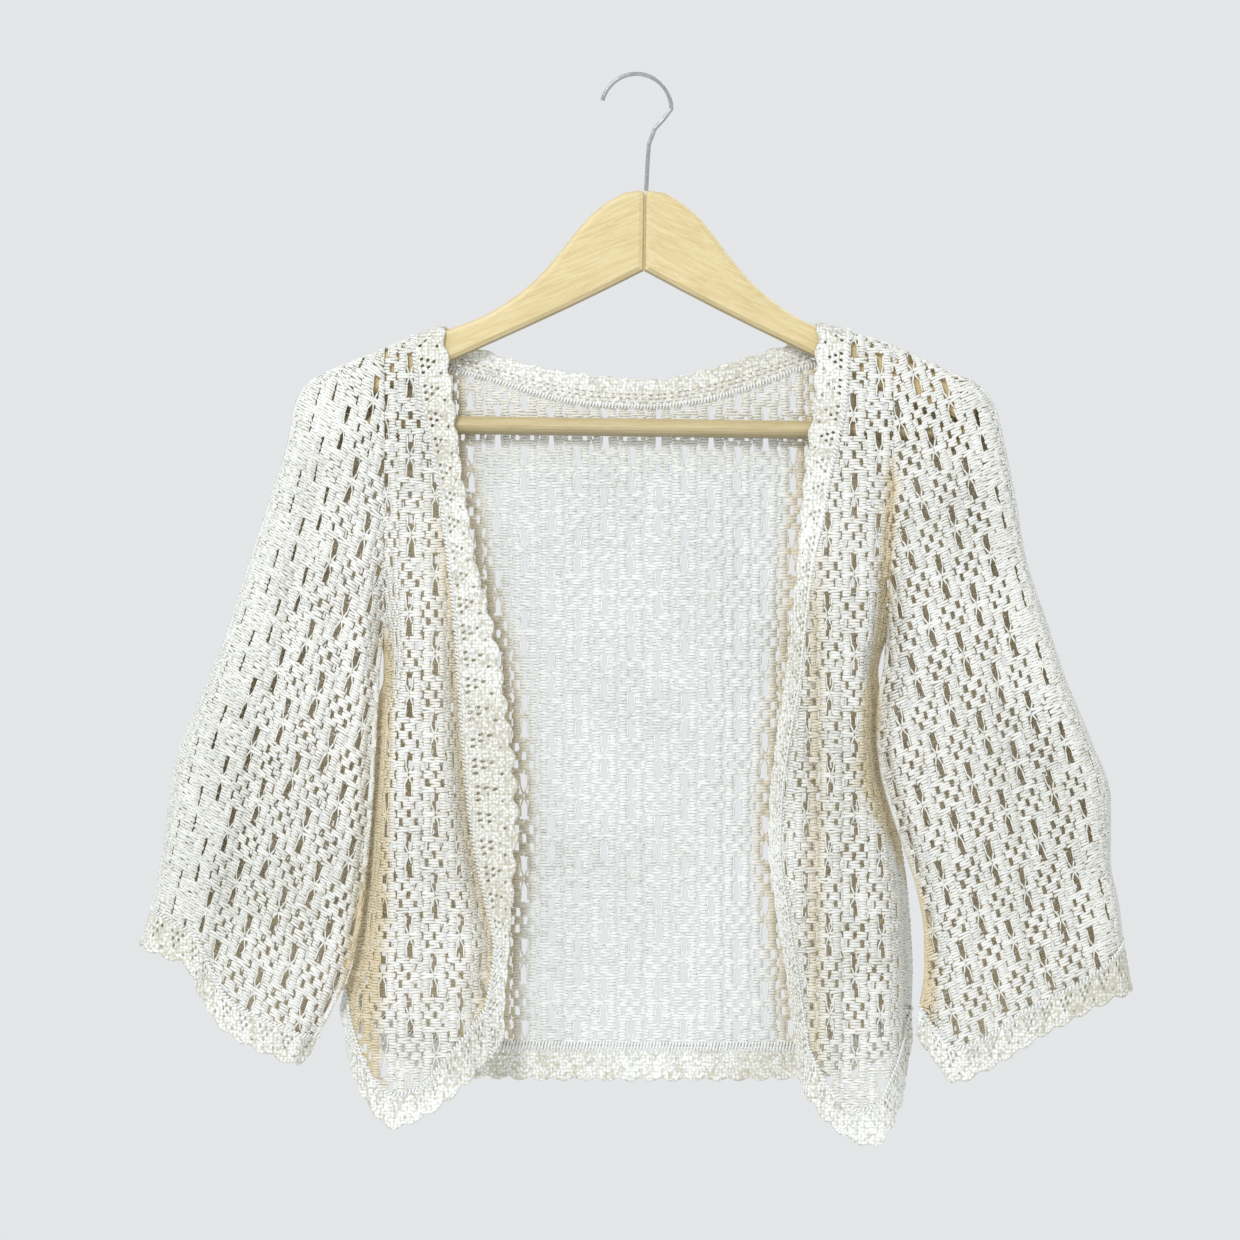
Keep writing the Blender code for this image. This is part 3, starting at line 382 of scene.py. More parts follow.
def side_fall(distance, roll, drop):
    """A soft valley along the armhole seam, and below the underarm a narrow flange that lies
    behind the sleeve before the cloth rounds forwards."""
    below = 1 - soft_fall((drop - ROUND_FROM) / UNDERARM_EASE)
    flange = 1 - np.clip(distance / FLANGE, 0, 1)
    rounded = round_fall((distance - FLANGE) / (roll - FLANGE))
    edge = FLANGE_SHARE * flange + (1 - FLANGE_SHARE) * rounded
    return soft_fall(distance / roll) * (1 - below) + edge * below


def creases(folds, across, drop):
    """Depth that the creases add at a place."""
    depth = np.zeros_like(across)
    for fold in folds:
        share = (drop - fold.top) / (fold.bottom - fold.top)
        middle = fold.top_across + share * (fold.bottom_across - fold.top_across)
        open_top = soft_fall((drop - fold.top) / CREASE_END)
        open_foot = soft_fall((fold.bottom + CREASE_END - drop) / CREASE_END)
        strength = (1 - open_top) * (1 - open_foot)
        depth = depth + fold.height * strength * np.exp(-(((across - middle) / fold.width) ** 2))
    return depth


def over_shoulder(depth, across, drop, shoulder):
    """Brings the cloth together over the hanger's arm, on a quarter round under the shoulder line."""
    top = np.interp(np.abs(across), [abs(p.across) for p in shoulder], [p.drop for p in shoulder])
    near = round_fall((drop - top) / SHOULDER_ROUND)
    return np.sign(depth) * (PINCH * near + np.abs(depth) * (1 - near))


class Front:
    """A front with its edge band and hem band: u is 0 at the side, 1 at the band seam and 2 at the
    scalloped edge, v is 0 at the shoulder, 1 at the hem seam and 2 at the scalloped hem."""

    def __init__(self, shoulder, side, seam, edge, hem, bottom, corner, hang, folds, turn, ridge):
        self.top = line(shoulder)
        self.side = line(side)
        self.seam = line(seam)
        self.edge = line(edge)
        self.hem = line(hem)
        self.bottom = line(bottom)
        self.corner = np.array(corner, float)
        self.side_at = sideways(self.side, bottom[0])
        self.seam_at = sideways(self.seam, bottom[-1])
        self.hang = hang
        self.folds = folds
        self.turn = turn
        self.ridge = ridge

    def place(self, u, v):
        inside = patch(self.top, self.hem, self.side, self.seam, np.clip(u, 0, 1), np.clip(v, 0, 1))
        over_u = np.clip(u - 1, 0, 1)[..., None]
        over_v = np.clip(v - 1, 0, 1)[..., None]
        held_u = np.clip(u, 0, 1)
        held_v = np.clip(v, 0, 1)
        band = self.seam(held_v) + over_u * (self.edge(held_v) - self.seam(held_v))
        hem = self.hem(held_u) + over_v * (self.bottom(held_u) - self.hem(held_u))
        foot = self.bottom(np.ones(1)) + over_u * (self.corner - self.bottom(np.ones(1)))
        head = self.seam(np.ones(1)) + over_u * (self.edge(np.ones(1)) - self.seam(np.ones(1)))
        corner = head + over_v * (foot - head)
        beyond_u = (u > 1)[..., None]
        beyond_v = (v > 1)[..., None]
        return np.where(beyond_u, np.where(beyond_v, corner, band), np.where(beyond_v, hem, inside))

    def surface(self, u, v):
        flat = self.place(u, v)
        across, drop = flat[..., 0], flat[..., 1]
        width = np.abs(self.seam_at(drop) - self.side_at(drop))
        deep = column(self.hang, "flat", drop)
        side = column(self.hang, "side", drop) - deep
        seam = column(self.hang, "seam", drop) - deep
        edge = column(self.hang, "edge", drop) - deep
        from_side = np.where(u > 0, np.abs(across - self.side_at(drop)), 0)
        from_seam = np.where(u < 1, np.abs(across - self.seam_at(drop)), 0)
        roll = np.minimum(column(self.hang, "roll", drop), 0.6 * width)
        turn = np.minimum(column(self.hang, "turn", drop), 0.4 * width)
        beside = side_fall(from_side, roll, drop)
        depth = deep + side * beside + seam * self.turn(from_seam / turn)
        on_panel = (1 - np.clip(u - 1, 0, 1)) * (1 - beside)
        depth = depth + creases(self.folds, across, drop) * on_panel * np.clip(from_seam / turn, 0, 1)
        depth = depth + np.clip(u - 1, 0, 1) * (edge - seam)
        depth = over_shoulder(depth, across, drop, self.ridge)
        return np.stack([across, depth, drop], axis=-1)


class Back:
    """The back panel and its hem band, u from the left side to the right one."""

    def __init__(self):
        self.top, self.joints = joined(LEFT_SHOULDER, NECK_SEAM, RIGHT_SHOULDER[::-1])
        self.hem = line(BACK_HEM)
        self.bottom = line(BACK_BOTTOM)
        self.left = line(LEFT_SIDE)
        self.right = line(RIGHT_SIDE)

    def surface(self, u, v):
        held_v = np.clip(v, 0, 1)
        flat = patch(self.top, self.hem, self.left, self.right, u, held_v)
        over = np.clip(v - 1, 0, 1)[..., None]
        return back_surface(flat + over * (self.bottom(u) - self.hem(u)))


def back_surface(flat):
    across, drop = flat[..., 0], flat[..., 1]
    from_left = across - sideways(line(LEFT_SIDE), BACK_BOTTOM[0])(drop)
    from_right = sideways(line(RIGHT_SIDE), BACK_BOTTOM[-1])(drop) - across
    from_side = np.maximum(np.minimum(from_left, from_right), 0)
    deep = column(BACK_HANG, "flat", drop)
    side = column(BACK_HANG, "side", drop) - deep
    roll = column(BACK_HANG, "roll", drop)
    fall = side_fall(from_side, roll, drop)
    depth = deep + side * fall + creases(BACK_FOLDS, across, drop) * (1 - fall)
    left_side = across < 0
    near_left = over_shoulder(depth, across, drop, LEFT_RIDGE)
    near_right = over_shoulder(depth, across, drop, RIGHT_RIDGE)
    depth = np.where(left_side, near_left, near_right)
    return np.stack([across, depth, drop], axis=-1)


class NeckBand:
    """The back neck band: u along the back panel's top, v from its seam to its scalloped edge."""

    def __init__(self):
        self.seam, joints = joined(LEFT_SHOULDER, NECK_SEAM, RIGHT_SHOULDER[::-1])
        self.edge = line(NECK_EDGE)
        self.first, self.last = joints[1], joints[2]

    def surface(self, u, v):
        share = (u - self.first) / (self.last - self.first)
        return back_surface(self.seam(u) + v[..., None] * (self.edge(share) - self.seam(u)))


class Sleeve:
    """One layer of a sleeve and its cuff: u from the outer line to the inner one, v from the
    shoulder to the cuff seam at 1 and the cuff's scalloped edge at 2."""

    def __init__(self, cap, cuff_seam, cuff_edge, outer, inner, tube, folds, ridge, layer):
        self.top = line(cap)
        self.cuff_seam = line(cuff_seam)
        self.cuff_edge = line(cuff_edge)
        self.outer = line(outer)
        self.inner = line(inner)
        self.tube = tube
        self.folds = folds
        self.ridge = ridge
        self.layer = layer
        self.outer_at = sideways(self.outer, cuff_edge[0])
        self.inner_at = sideways(self.inner, cuff_edge[-1])

    def surface(self, u, v):
        held_v = np.clip(v, 0, 1)
        flat = patch(self.top, self.cuff_seam, self.outer, self.inner, u, held_v)
        over = np.clip(v - 1, 0, 1)[..., None]
        flat = flat + over * (self.cuff_edge(u) - self.cuff_seam(u))
        across, drop = flat[..., 0], flat[..., 1]
        from_outer = np.where(u > 0, np.abs(across - self.outer_at(drop)), 0)
        from_inner = np.where(u < 1, np.abs(across - self.inner_at(drop)), 0)
        inner = column(self.tube, "inner", drop)
        deep = column(self.tube, self.layer, drop)
        if self.layer == "back":
            armhole = column(BACK_HANG, "side", drop)
            below = 1 - soft_fall((drop - UNDERARM_DROP) / UNDERARM_EASE)
            inner = armhole * (1 - below) + (inner + 2 * LAP) * below
            outer_edge = PINCH
            slope = soft_fall(from_inner / TUBE_SLOPE)
        else:
            outer_edge = -PINCH
            slope = side_fall(from_inner, TUBE_ROLL, drop)
        roll = round_fall(from_outer / TUBE_ROLL)
        depth = deep + (outer_edge - deep) * roll + (inner - deep) * slope * (1 - roll)
        crease = creases(self.folds, across, drop) * (1 - roll) * (1 - slope)
        depth = depth + (crease if self.layer == "front" else 0.4 * crease)
        depth = over_shoulder(depth, across, drop, self.ridge)
        return np.stack([across, depth, drop], axis=-1)


def to_metres(points):
    """Across, depth and drop as metres from the hook's rest."""
    return np.stack(
        [(points[..., 0] + HOOK_OFFSET) * MM, points[..., 1] * MM, -points[..., 2] * MM], axis=-1
    )


def crosswise(shape, u, v):
    """The direction across shape's surface, not yet turned to the garment's outside.

    At a corner, where the lines across and down run together, it is read a little inside.
    """
    step = 1e-3
    top_corner = (u < CORNER) & (v < CORNER)
    low_corner = (np.abs(u - 1) < LOW_CORNER) & (np.abs(v - 1) < LOW_CORNER)
    u = np.where(top_corner, CORNER, np.where(low_corner, 1 - LOW_CORNER, u))
    v = np.where(low_corner, 1 - LOW_CORNER, v)
    along_u = shape.surface(u + step, v) - shape.surface(u - step, v)
    along_v = shape.surface(u, v + step) - shape.surface(u, v - step)
    normal = np.cross(along_u, along_v)
    return normal / np.maximum(np.linalg.norm(normal, axis=-1, keepdims=True), 1e-9)


def middle_and_normal(shape, u, v, outward):
    """The middle of the wall and its unit normal, which points to the garment's outside."""
    half = np.array([0.5])
    facing = np.sign(crosswise(shape, half, half)[0, 1]) * outward
    return shape.surface(u, v), crosswise(shape, u, v) * facing


# Sizes of the cloth's own meshes
GROUND_STEP = 3.0
CLOSE = np.array([0.0, 0.15, 0.5, 1.1, 2.0, 3.2, 4.8, 6.8])
PANEL_LENGTH = 430.0
STEEPEST = 6.0
ROUND_EXTRA = 4.5
SEAM_REACH = 14.0

# A piece's openwork: how far its columns and its rows lean, the width from a sleeve's outer line over
# which the cloth is drawn together, how much more cloth there is, and how far the knit is stretched
Drape = namedtuple("Drape", "columns rows width more stretch")
DRAPES = {
    "left": Drape(math.radians(17), math.radians(33), 62.0, 0.9, 1.0),
    "right": Drape(math.radians(-15), math.radians(-24), 26.0, 0.5, 1.0),
}
STRAIGHT = Drape(0.0, 0.0, 0.0, 0.0, 1.0)
STRETCHED = Drape(0.0, 0.0, 0.0, 0.0, 1.035)

# Where shade is painted on the cloth, between the body's line and the sleeve's
Shade = namedtuple("Shade", "drop body sleeve")
SIDE_SHADES = {
    "left": [
        Shade(350, -169, -171), Shade(364, -166, -171), Shade(408, -164.3, -170.2),
        Shade(451, -165.3, -171.5), Shade(484, -167.5, -174.5), Shade(517, -166, -180),
        Shade(543, -168.5, -186.5), Shade(578, -170.8, -194), Shade(610, -173, -200),
    ],
    "right": [
        Shade(240, 161, 162), Shade(264, 158, 163), Shade(304, 155, 161), Shade(354, 152, 158),
        Shade(389, 147, 153), Shade(408, 142, 152), Shade(441, 139, 150), Shade(463, 140, 153),
        Shade(484, 150, 159), Shade(506, 163, 168), Shade(527, 172, 176), Shade(549, 179, 184),
        Shade(571, 180, 188),
    ],
}
SHADE_EDGE = 3.0

# The strips of stitches along the side seams and the sleeves' outer folds: each one's place across the
# panel, as a share, its width, and the shares of the panel's length at which it starts and ends
Selvage = namedtuple("Selvage", "share width start end")
BODY_SELVAGE = 6.0
SLEEVE_SELVAGE = 3.0
SIDE_RUN = (0.43, 0.995)
FOLD_RUN = (0.02, 0.995)

# One repeat of the openwork. A course is a run of rows with the same ribs, each given by its middle
# across and its length; a thread is given by its two ends, across and down the repeat
ROWS = 29
RIB_THICK = 2.15
BAR_THICK = 2.5
THREAD_THICK = 1.15
RIB_TILT = 4.0
SPARE = 1.1
Course = namedtuple("Course", "first last thick ribs")
Thread = namedtuple("Thread", "across down to_across to_down")
LADDER = ((-5.15, 4.9), (5.15, 4.9))
BRIDGE = ((-5.75, 6.1), (5.75, 6.1))
HALVES = ((-4.25, 8.7), (4.25, 8.7))
CLUSTER = ((0.0, 7.6), (-7.75, 3.4), (7.75, 3.4))
PAIR = ((-4.4, 6.6), (4.4, 6.6))
COURSES = [
    Course(0, 2, RIB_THICK, LADDER), Course(3, 4, RIB_THICK, BRIDGE), Course(5, 6, RIB_THICK, LADDER),
    Course(7, 8, BAR_THICK, HALVES),
    Course(9, 11, RIB_THICK, LADDER), Course(12, 13, RIB_THICK, BRIDGE), Course(14, 15, RIB_THICK, LADDER),
    Course(16, 17, RIB_THICK, HALVES), Course(18, 20, RIB_THICK, CLUSTER), Course(21, 23, RIB_THICK, PAIR),
    Course(24, 26, RIB_THICK, CLUSTER), Course(27, 28, RIB_THICK, HALVES),
]
THREADS = [
    Thread(2.5, 0.8, 2.2, 8.6), Thread(2.2, 8.4, 0.2, 13.4),
    Thread(0.2, 15.4, 2.2, 20.4), Thread(2.2, 20.2, 2.5, 28.0),
]

# One scallop of a band: lines from its seam to its edge, and the cells that are holes, by line and
# by place across counted from the scallop's tip
BAND_LINES = (0.0, 1.2, 2.4, 4.7, 5.4, 7.7, 8.4, 10.7, 11.8, 14.0, 15.6, 17.5)
BAND_COLUMNS = 8
BAND_RIPPLE = 0.45
HOLES = {2: (-2, 0, 2), 4: (-1, 1), 6: (0,), 8: (4,)}
SCALLOP_CUT = 2.6
EDGE_PITCH = 17.5
HEM_PITCH = 14.5

# The bands' knotted bumps for one strand, and the floor's radius in metres
KNOT_SHARE = 0.55
FLOOR_REACH = 1.15


def srgb(red, green, blue):
    """A colour as the eye reads it, from 0 to 255, in the linear values that a shader takes."""
    values = [v / 255 for v in (red, green, blue)]
    return [v / 12.92 if v <= 0.04045 else ((v + 0.055) / 1.055) ** 2.4 for v in values] + [1.0]


class YarnSettings(bpy.types.PropertyGroup):
    column_pitch: bpy.props.FloatProperty(
        name="Column pitch", description="Distance between two columns of the openwork",
        default=0.017, unit="LENGTH",
    )
    repeat: bpy.props.FloatProperty(
        name="Repeat", description="Length of one repeat of the openwork", default=0.052, unit="LENGTH",
    )
    depth: bpy.props.FloatProperty(
        name="Yarn depth", description="How far a rib stands to each side of the cloth, for its thickness",
        default=0.72,
    )
    colour: bpy.props.FloatVectorProperty(
        name="Yarn colour", description="Colour of the cotton in full light", default=srgb(246, 247, 244),
        size=4, subtype="COLOR",
    )
    # Partly painted shade: the colour of the relief's low places, mixed with random tone
    hollow_colour: bpy.props.FloatVectorProperty(
        name="Yarn hollows", description="Colour between the strands of the cotton",
        default=srgb(210, 212, 204), size=4, subtype="COLOR",
    )
    # Painted shade: the tan that the cotton takes inside the garment, in its folds and where it is covered
    inner_colour: bpy.props.FloatVectorProperty(
        name="Yarn in the shade", description="Colour of the cotton inside the garment and in its folds",
        default=srgb(238, 222, 190), size=4, subtype="COLOR",
    )


class BandSettings(bpy.types.PropertyGroup):
    thickness: bpy.props.FloatProperty(
        name="Band thickness", description="Thickness of the scalloped bands", default=0.0018,
        unit="LENGTH",
    )
    # Partly painted shade: the colour of the crochet's low places and of its dark dash rows
    hollow_colour: bpy.props.FloatVectorProperty(
        name="Crochet hollows", description="Colour between the bands' small stitches",
        default=srgb(196, 192, 174), size=4, subtype="COLOR",
    )
    stitch: bpy.props.FloatProperty(
        name="Stitch pitch", description="Distance between two stitches of a seam", default=0.0026,
        unit="LENGTH",
    )


class HangerSettings(bpy.types.PropertyGroup):
    pale: bpy.props.FloatVectorProperty(
        name="Pale wood", description="Colour of the early wood", default=srgb(224, 206, 158), size=4,
        subtype="COLOR",
    )
    deep: bpy.props.FloatVectorProperty(
        name="Deep wood", description="Colour of the grain lines", default=srgb(204, 182, 128), size=4,
        subtype="COLOR",
    )


class StageSettings(bpy.types.PropertyGroup):
    frame_side: bpy.props.FloatProperty(
        name="Frame", description="Side of the square that the camera sees at the cloth", default=0.811,
        unit="LENGTH",
    )
    distance: bpy.props.FloatProperty(
        name="Camera distance", description="From the camera to the hanger", default=3.6, unit="LENGTH",
    )
    floor_drop: bpy.props.FloatProperty(
        name="Floor", description="How far the floor lies below the rail", default=0.95, unit="LENGTH",
    )


def add_node(tree, kind, inputs=None, **settings):
    """A node with its settings, and its inputs given by name or number as values or other sockets."""
    node = tree.nodes.new(kind)
    for name, value in settings.items():
        setattr(node, name, value)
    for name, value in (inputs or {}).items():
        socket = node.inputs[name]
        if isinstance(value, bpy.types.NodeSocket):
            tree.links.new(value, socket)
        else:
            socket.default_value = value
    return node


def maths(tree, operation, first, second=0.0):
    return add_node(tree, "ShaderNodeMath", {0: first, 1: second}, operation=operation).outputs[0]


def vector_maths(tree, operation, first, second=(0.0, 0.0, 0.0)):
    return add_node(tree, "ShaderNodeVectorMath", {0: first, 1: second}, operation=operation).outputs[0]


def scaled(tree, vector, factor):
    node = add_node(tree, "ShaderNodeVectorMath", {0: vector, "Scale": factor}, operation="SCALE")
    return node.outputs[0]


def named(tree, name, kind):
    return add_node(tree, "GeometryNodeInputNamedAttribute", {"Name": name}, data_type=kind).outputs[0]


def new_tree(name, kind, inputs, outputs):
    """A node tree with its named inputs and outputs, and the nodes that stand for them."""
    tree = bpy.data.node_groups.new(name, kind)
    for label, socket in inputs:
        tree.interface.new_socket(label, in_out="INPUT", socket_type="NodeSocket" + socket)
    for label, socket in outputs:
        tree.interface.new_socket(label, in_out="OUTPUT", socket_type="NodeSocket" + socket)
    return tree, tree.nodes.new("NodeGroupInput").outputs, tree.nodes.new("NodeGroupOutput").inputs


def on_cloth(tree, cloth, value, kind, place):
    """A value of the cloth at a place on its flat pattern, and whether the pattern reaches there."""
    node = add_node(
        tree, "GeometryNodeSampleUVSurface",
        {"Mesh": cloth, "Value": value, "Source UV Map": named(tree, "flat", "FLOAT_VECTOR"),
         "Sample UV": place},
        data_type=kind,
    )
    return node.outputs["Value"], node.outputs["Is Valid"]


def laid(tree, cloth, geometry):
    """Lays a mesh made on the flat pattern over the cloth, and draws it in to the cloth's edges.

    Each point keeps the share of painted shade that it takes: all of it where the cloth is marked
    shaded, and its under side where the cloth is covered.
    """
    position = tree.nodes.new("GeometryNodeInputPosition").outputs[0]
    back, reached = on_cloth(tree, cloth, named(tree, "trim", "FLOAT_VECTOR"), "FLOAT_VECTOR", position)
    inside = vector_maths(tree, "ADD", position, back)
    own_place = tree.nodes.new("GeometryNodeInputPosition").outputs[0]
    place, met = on_cloth(tree, cloth, own_place, "FLOAT_VECTOR", inside)
    missed = add_node(tree, "FunctionNodeBooleanMath", {0: reached, 1: met}, operation="NAND").outputs[0]
    geometry = add_node(
        tree, "GeometryNodeDeleteGeometry", {"Geometry": geometry, "Selection": missed}, domain="POINT"
    ).outputs[0]
    normal, _ = on_cloth(tree, cloth, named(tree, "outward", "FLOAT_VECTOR"), "FLOAT_VECTOR", inside)
    # Painted shade: under sides where the cloth is covered, and whole ribs where it is shaded, are marked for a
    # tan tint
    height = add_node(tree, "ShaderNodeSeparateXYZ", {0: position}).outputs["Z"]
    under = add_node(
        tree, "ShaderNodeMapRange", {"Value": height, "From Min": 0.0003, "From Max": -0.0005}
    ).outputs[0]
    covered, _ = on_cloth(tree, cloth, named(tree, "covered", "FLOAT"), "FLOAT", inside)
    shaded, _ = on_cloth(tree, cloth, named(tree, "shaded", "FLOAT"), "FLOAT", inside)
    inner = maths(tree, "MAXIMUM", maths(tree, "MULTIPLY", under, covered), shaded)
    geometry = add_node(
        tree, "GeometryNodeStoreNamedAttribute", {"Geometry": geometry, "Name": "inner", "Value": inner},
        data_type="FLOAT", domain="POINT",
    ).outputs[0]
    lifted = vector_maths(tree, "ADD", place, scaled(tree, normal, height))
    return add_node(tree, "GeometryNodeSetPosition", {"Geometry": geometry, "Position": lifted}).outputs[0]


def lace_tree():
    """Ribs in charted rows, repeated over columns and laid on the cloth."""
    tree, given, result = new_tree(
        "Openwork ribs", "GeometryNodeTree",
        [("Cloth", "Geometry"), ("Chart", "Object"), ("Rib", "Object"), ("Column pitch", "Float"),
         ("Repeat", "Float"), ("Columns", "Int"), ("Repeats", "Int"), ("Middle", "Vector"),
         ("Depth", "Float"), ("Drift", "Float"), ("Drift scale", "Float"), ("Unevenness", "Float"),
         ("Seed", "Int"), ("Yarn", "Material")],
        [("Lace", "Geometry")],
    )
    cloth = given["Cloth"]
    pitch = given["Column pitch"]
    repeat = given["Repeat"]
    wide = maths(tree, "MULTIPLY", maths(tree, "SUBTRACT", given["Columns"], 1.0), pitch)
    tall = maths(tree, "MULTIPLY", maths(tree, "SUBTRACT", given["Repeats"], 1.0), repeat)
    grid = add_node(
        tree, "GeometryNodeMeshGrid",
        {"Size X": wide, "Size Y": tall, "Vertices X": given["Columns"], "Vertices Y": given["Repeats"]},
    )
    cells = add_node(tree, "GeometryNodeMeshToPoints", {"Mesh": grid.outputs["Mesh"]})
    index = tree.nodes.new("GeometryNodeInputIndex").outputs[0]
    column = maths(tree, "FLOOR", maths(tree, "DIVIDE", index, given["Repeats"]))
    staggered = maths(tree, "MULTIPLY", maths(tree, "MODULO", column, 2.0), maths(tree, "MULTIPLY", repeat, 0.5))
    shift = add_node(tree, "ShaderNodeCombineXYZ", {"Y": staggered}).outputs[0]
    offset = vector_maths(tree, "ADD", shift, given["Middle"])
    cells = add_node(tree, "GeometryNodeSetPosition", {"Geometry": cells.outputs[0], "Offset": offset})
    chart = add_node(tree, "GeometryNodeObjectInfo", {"Object": given["Chart"]})
    stitches = add_node(tree, "GeometryNodeMeshToPoints", {"Mesh": chart.outputs["Geometry"]})
    spread = add_node(
        tree, "GeometryNodeInstanceOnPoints", {"Points": cells.outputs[0], "Instance": stitches.outputs[0]}
    )
    points = add_node(tree, "GeometryNodeRealizeInstances", {"Geometry": spread.outputs[0]}).outputs[0]

    position = tree.nodes.new("GeometryNodeInputPosition").outputs[0]
    drift = add_node(
        tree, "ShaderNodeTexNoise", {"Vector": position, "Scale": given["Drift scale"], "Detail": 1.0}
    ).outputs[1]
    drift = vector_maths(tree, "SUBTRACT", drift, (0.5, 0.5, 0.5))
    drift = vector_maths(tree, "MULTIPLY", scaled(tree, drift, given["Drift"]), (1.0, 1.0, 0.0))
    points = add_node(tree, "GeometryNodeSetPosition", {"Geometry": points, "Offset": drift}).outputs[0]
    thick = named(tree, "thick", "FLOAT")
    tilt = named(tree, "tilt", "FLOAT")
    shut, _ = on_cloth(tree, cloth, named(tree, "closed", "FLOAT"), "FLOAT", position)
    longer = maths(tree, "ADD", maths(tree, "MULTIPLY", shut, named(tree, "spare", "FLOAT")), 1.0)
    length = maths(tree, "MULTIPLY", named(tree, "length", "FLOAT"), longer)
    along = add_node(
        tree, "ShaderNodeCombineXYZ", {"X": maths(tree, "COSINE", tilt), "Y": maths(tree, "SINE", tilt)}
    ).outputs[0]
    half = scaled(tree, along, maths(tree, "MULTIPLY", length, 0.5))
    back, valid = on_cloth(tree, cloth, named(tree, "trim", "FLOAT_VECTOR"), "FLOAT_VECTOR", position)
    for way in ("ADD", "SUBTRACT"):
        end = vector_maths(tree, way, position, half)
        _, reached = on_cloth(tree, cloth, named(tree, "trim", "FLOAT_VECTOR"), "FLOAT_VECTOR", end)
        valid = add_node(tree, "FunctionNodeBooleanMath", {0: valid, 1: reached}, operation="AND").outputs[0]
    over = add_node(tree, "ShaderNodeSeparateXYZ", {0: vector_maths(tree, "ABSOLUTE", back)}).outputs
    limits = (("X", maths(tree, "MULTIPLY", length, 0.42)), ("Y", maths(tree, "MULTIPLY", thick, 0.3)))
    for axis, limit in limits:
        near = add_node(
            tree, "FunctionNodeCompare", {0: over[axis], 1: limit}, data_type="FLOAT", operation="LESS_EQUAL"
        ).outputs[0]
        valid = add_node(tree, "FunctionNodeBooleanMath", {0: valid, 1: near}, operation="AND").outputs[0]
    outside = add_node(tree, "FunctionNodeBooleanMath", {0: valid}, operation="NOT").outputs[0]
    points = add_node(
        tree, "GeometryNodeDeleteGeometry", {"Geometry": points, "Selection": outside}, domain="POINT"
    ).outputs[0]

    def chance(low, high, extra):
        seed = maths(tree, "ADD", given["Seed"], extra)
        return add_node(
            tree, "FunctionNodeRandomValue", {2: low, 3: high, "Seed": seed}, data_type="FLOAT"
        ).outputs[1]

    turn = maths(tree, "ADD", tilt, maths(tree, "MULTIPLY", chance(-0.07, 0.07, 1.0), given["Unevenness"]))
    roll = maths(tree, "MULTIPLY", chance(-0.3, 0.3, 2.0), given["Unevenness"])
    rotation = add_node(tree, "ShaderNodeCombineXYZ", {"X": roll, "Z": turn}).outputs[0]
    swell = maths(tree, "MULTIPLY", thick, chance(0.88, 1.08, 3.0))
    size = add_node(
        tree, "ShaderNodeCombineXYZ",
        {"X": maths(tree, "MULTIPLY", length, chance(0.95, 1.06, 4.0)), "Y": swell,
         "Z": maths(tree, "MULTIPLY", swell, given["Depth"])},
    ).outputs[0]
    rib = add_node(tree, "GeometryNodeObjectInfo", {"Object": given["Rib"]}).outputs["Geometry"]
    ribs = add_node(
        tree, "GeometryNodeInstanceOnPoints",
        {"Points": points, "Instance": rib, "Rotation": rotation, "Scale": size},
    ).outputs[0]
    ribs = add_node(
        tree, "GeometryNodeStoreNamedAttribute",
        {"Geometry": ribs, "Name": "shade", "Value": chance(0.0, 1.0, 5.0)},
        data_type="FLOAT", domain="INSTANCE",
    ).outputs[0]
    mesh = add_node(tree, "GeometryNodeRealizeInstances", {"Geometry": ribs}).outputs[0]
    finish_tree(tree, laid(tree, cloth, mesh), given["Yarn"], result[0])
    return tree


def finish_tree(tree, geometry, material, result):
    smooth_mesh = add_node(tree, "GeometryNodeSetShadeSmooth", {"Geometry": geometry}).outputs[0]
    plain = add_node(tree, "GeometryNodeRealizeInstances", {"Geometry": smooth_mesh}).outputs[0]
    done = add_node(tree, "GeometryNodeSetMaterial", {"Geometry": plain, "Material": material}).outputs[0]
    tree.links.new(done, result)


def band_tree():
    """Scallops in a row, joined side to side and laid on the band's cloth."""
    tree, given, result = new_tree(
        "Scalloped band", "GeometryNodeTree",
        [("Cloth", "Geometry"), ("Scallop", "Object"), ("Scallops", "Int"), ("Pitch", "Float"),
         ("Yarn", "Material")],
        [("Band", "Geometry")],
    )
    step = add_node(tree, "ShaderNodeCombineXYZ", {"X": given["Pitch"]}).outputs[0]
    row = add_node(tree, "GeometryNodeMeshLine", {"Count": given["Scallops"], "Offset": step}).outputs[0]
    scallop = add_node(tree, "GeometryNodeObjectInfo", {"Object": given["Scallop"]}).outputs["Geometry"]
    placed = add_node(tree, "GeometryNodeInstanceOnPoints", {"Points": row, "Instance": scallop})
    mesh = add_node(tree, "GeometryNodeRealizeInstances", {"Geometry": placed.outputs[0]}).outputs[0]
    mesh = add_node(tree, "GeometryNodeMergeByDistance", {"Geometry": mesh, "Distance": 0.00005}).outputs[0]
    finish_tree(tree, laid(tree, given["Cloth"], mesh), given["Yarn"], result[0])
    return tree


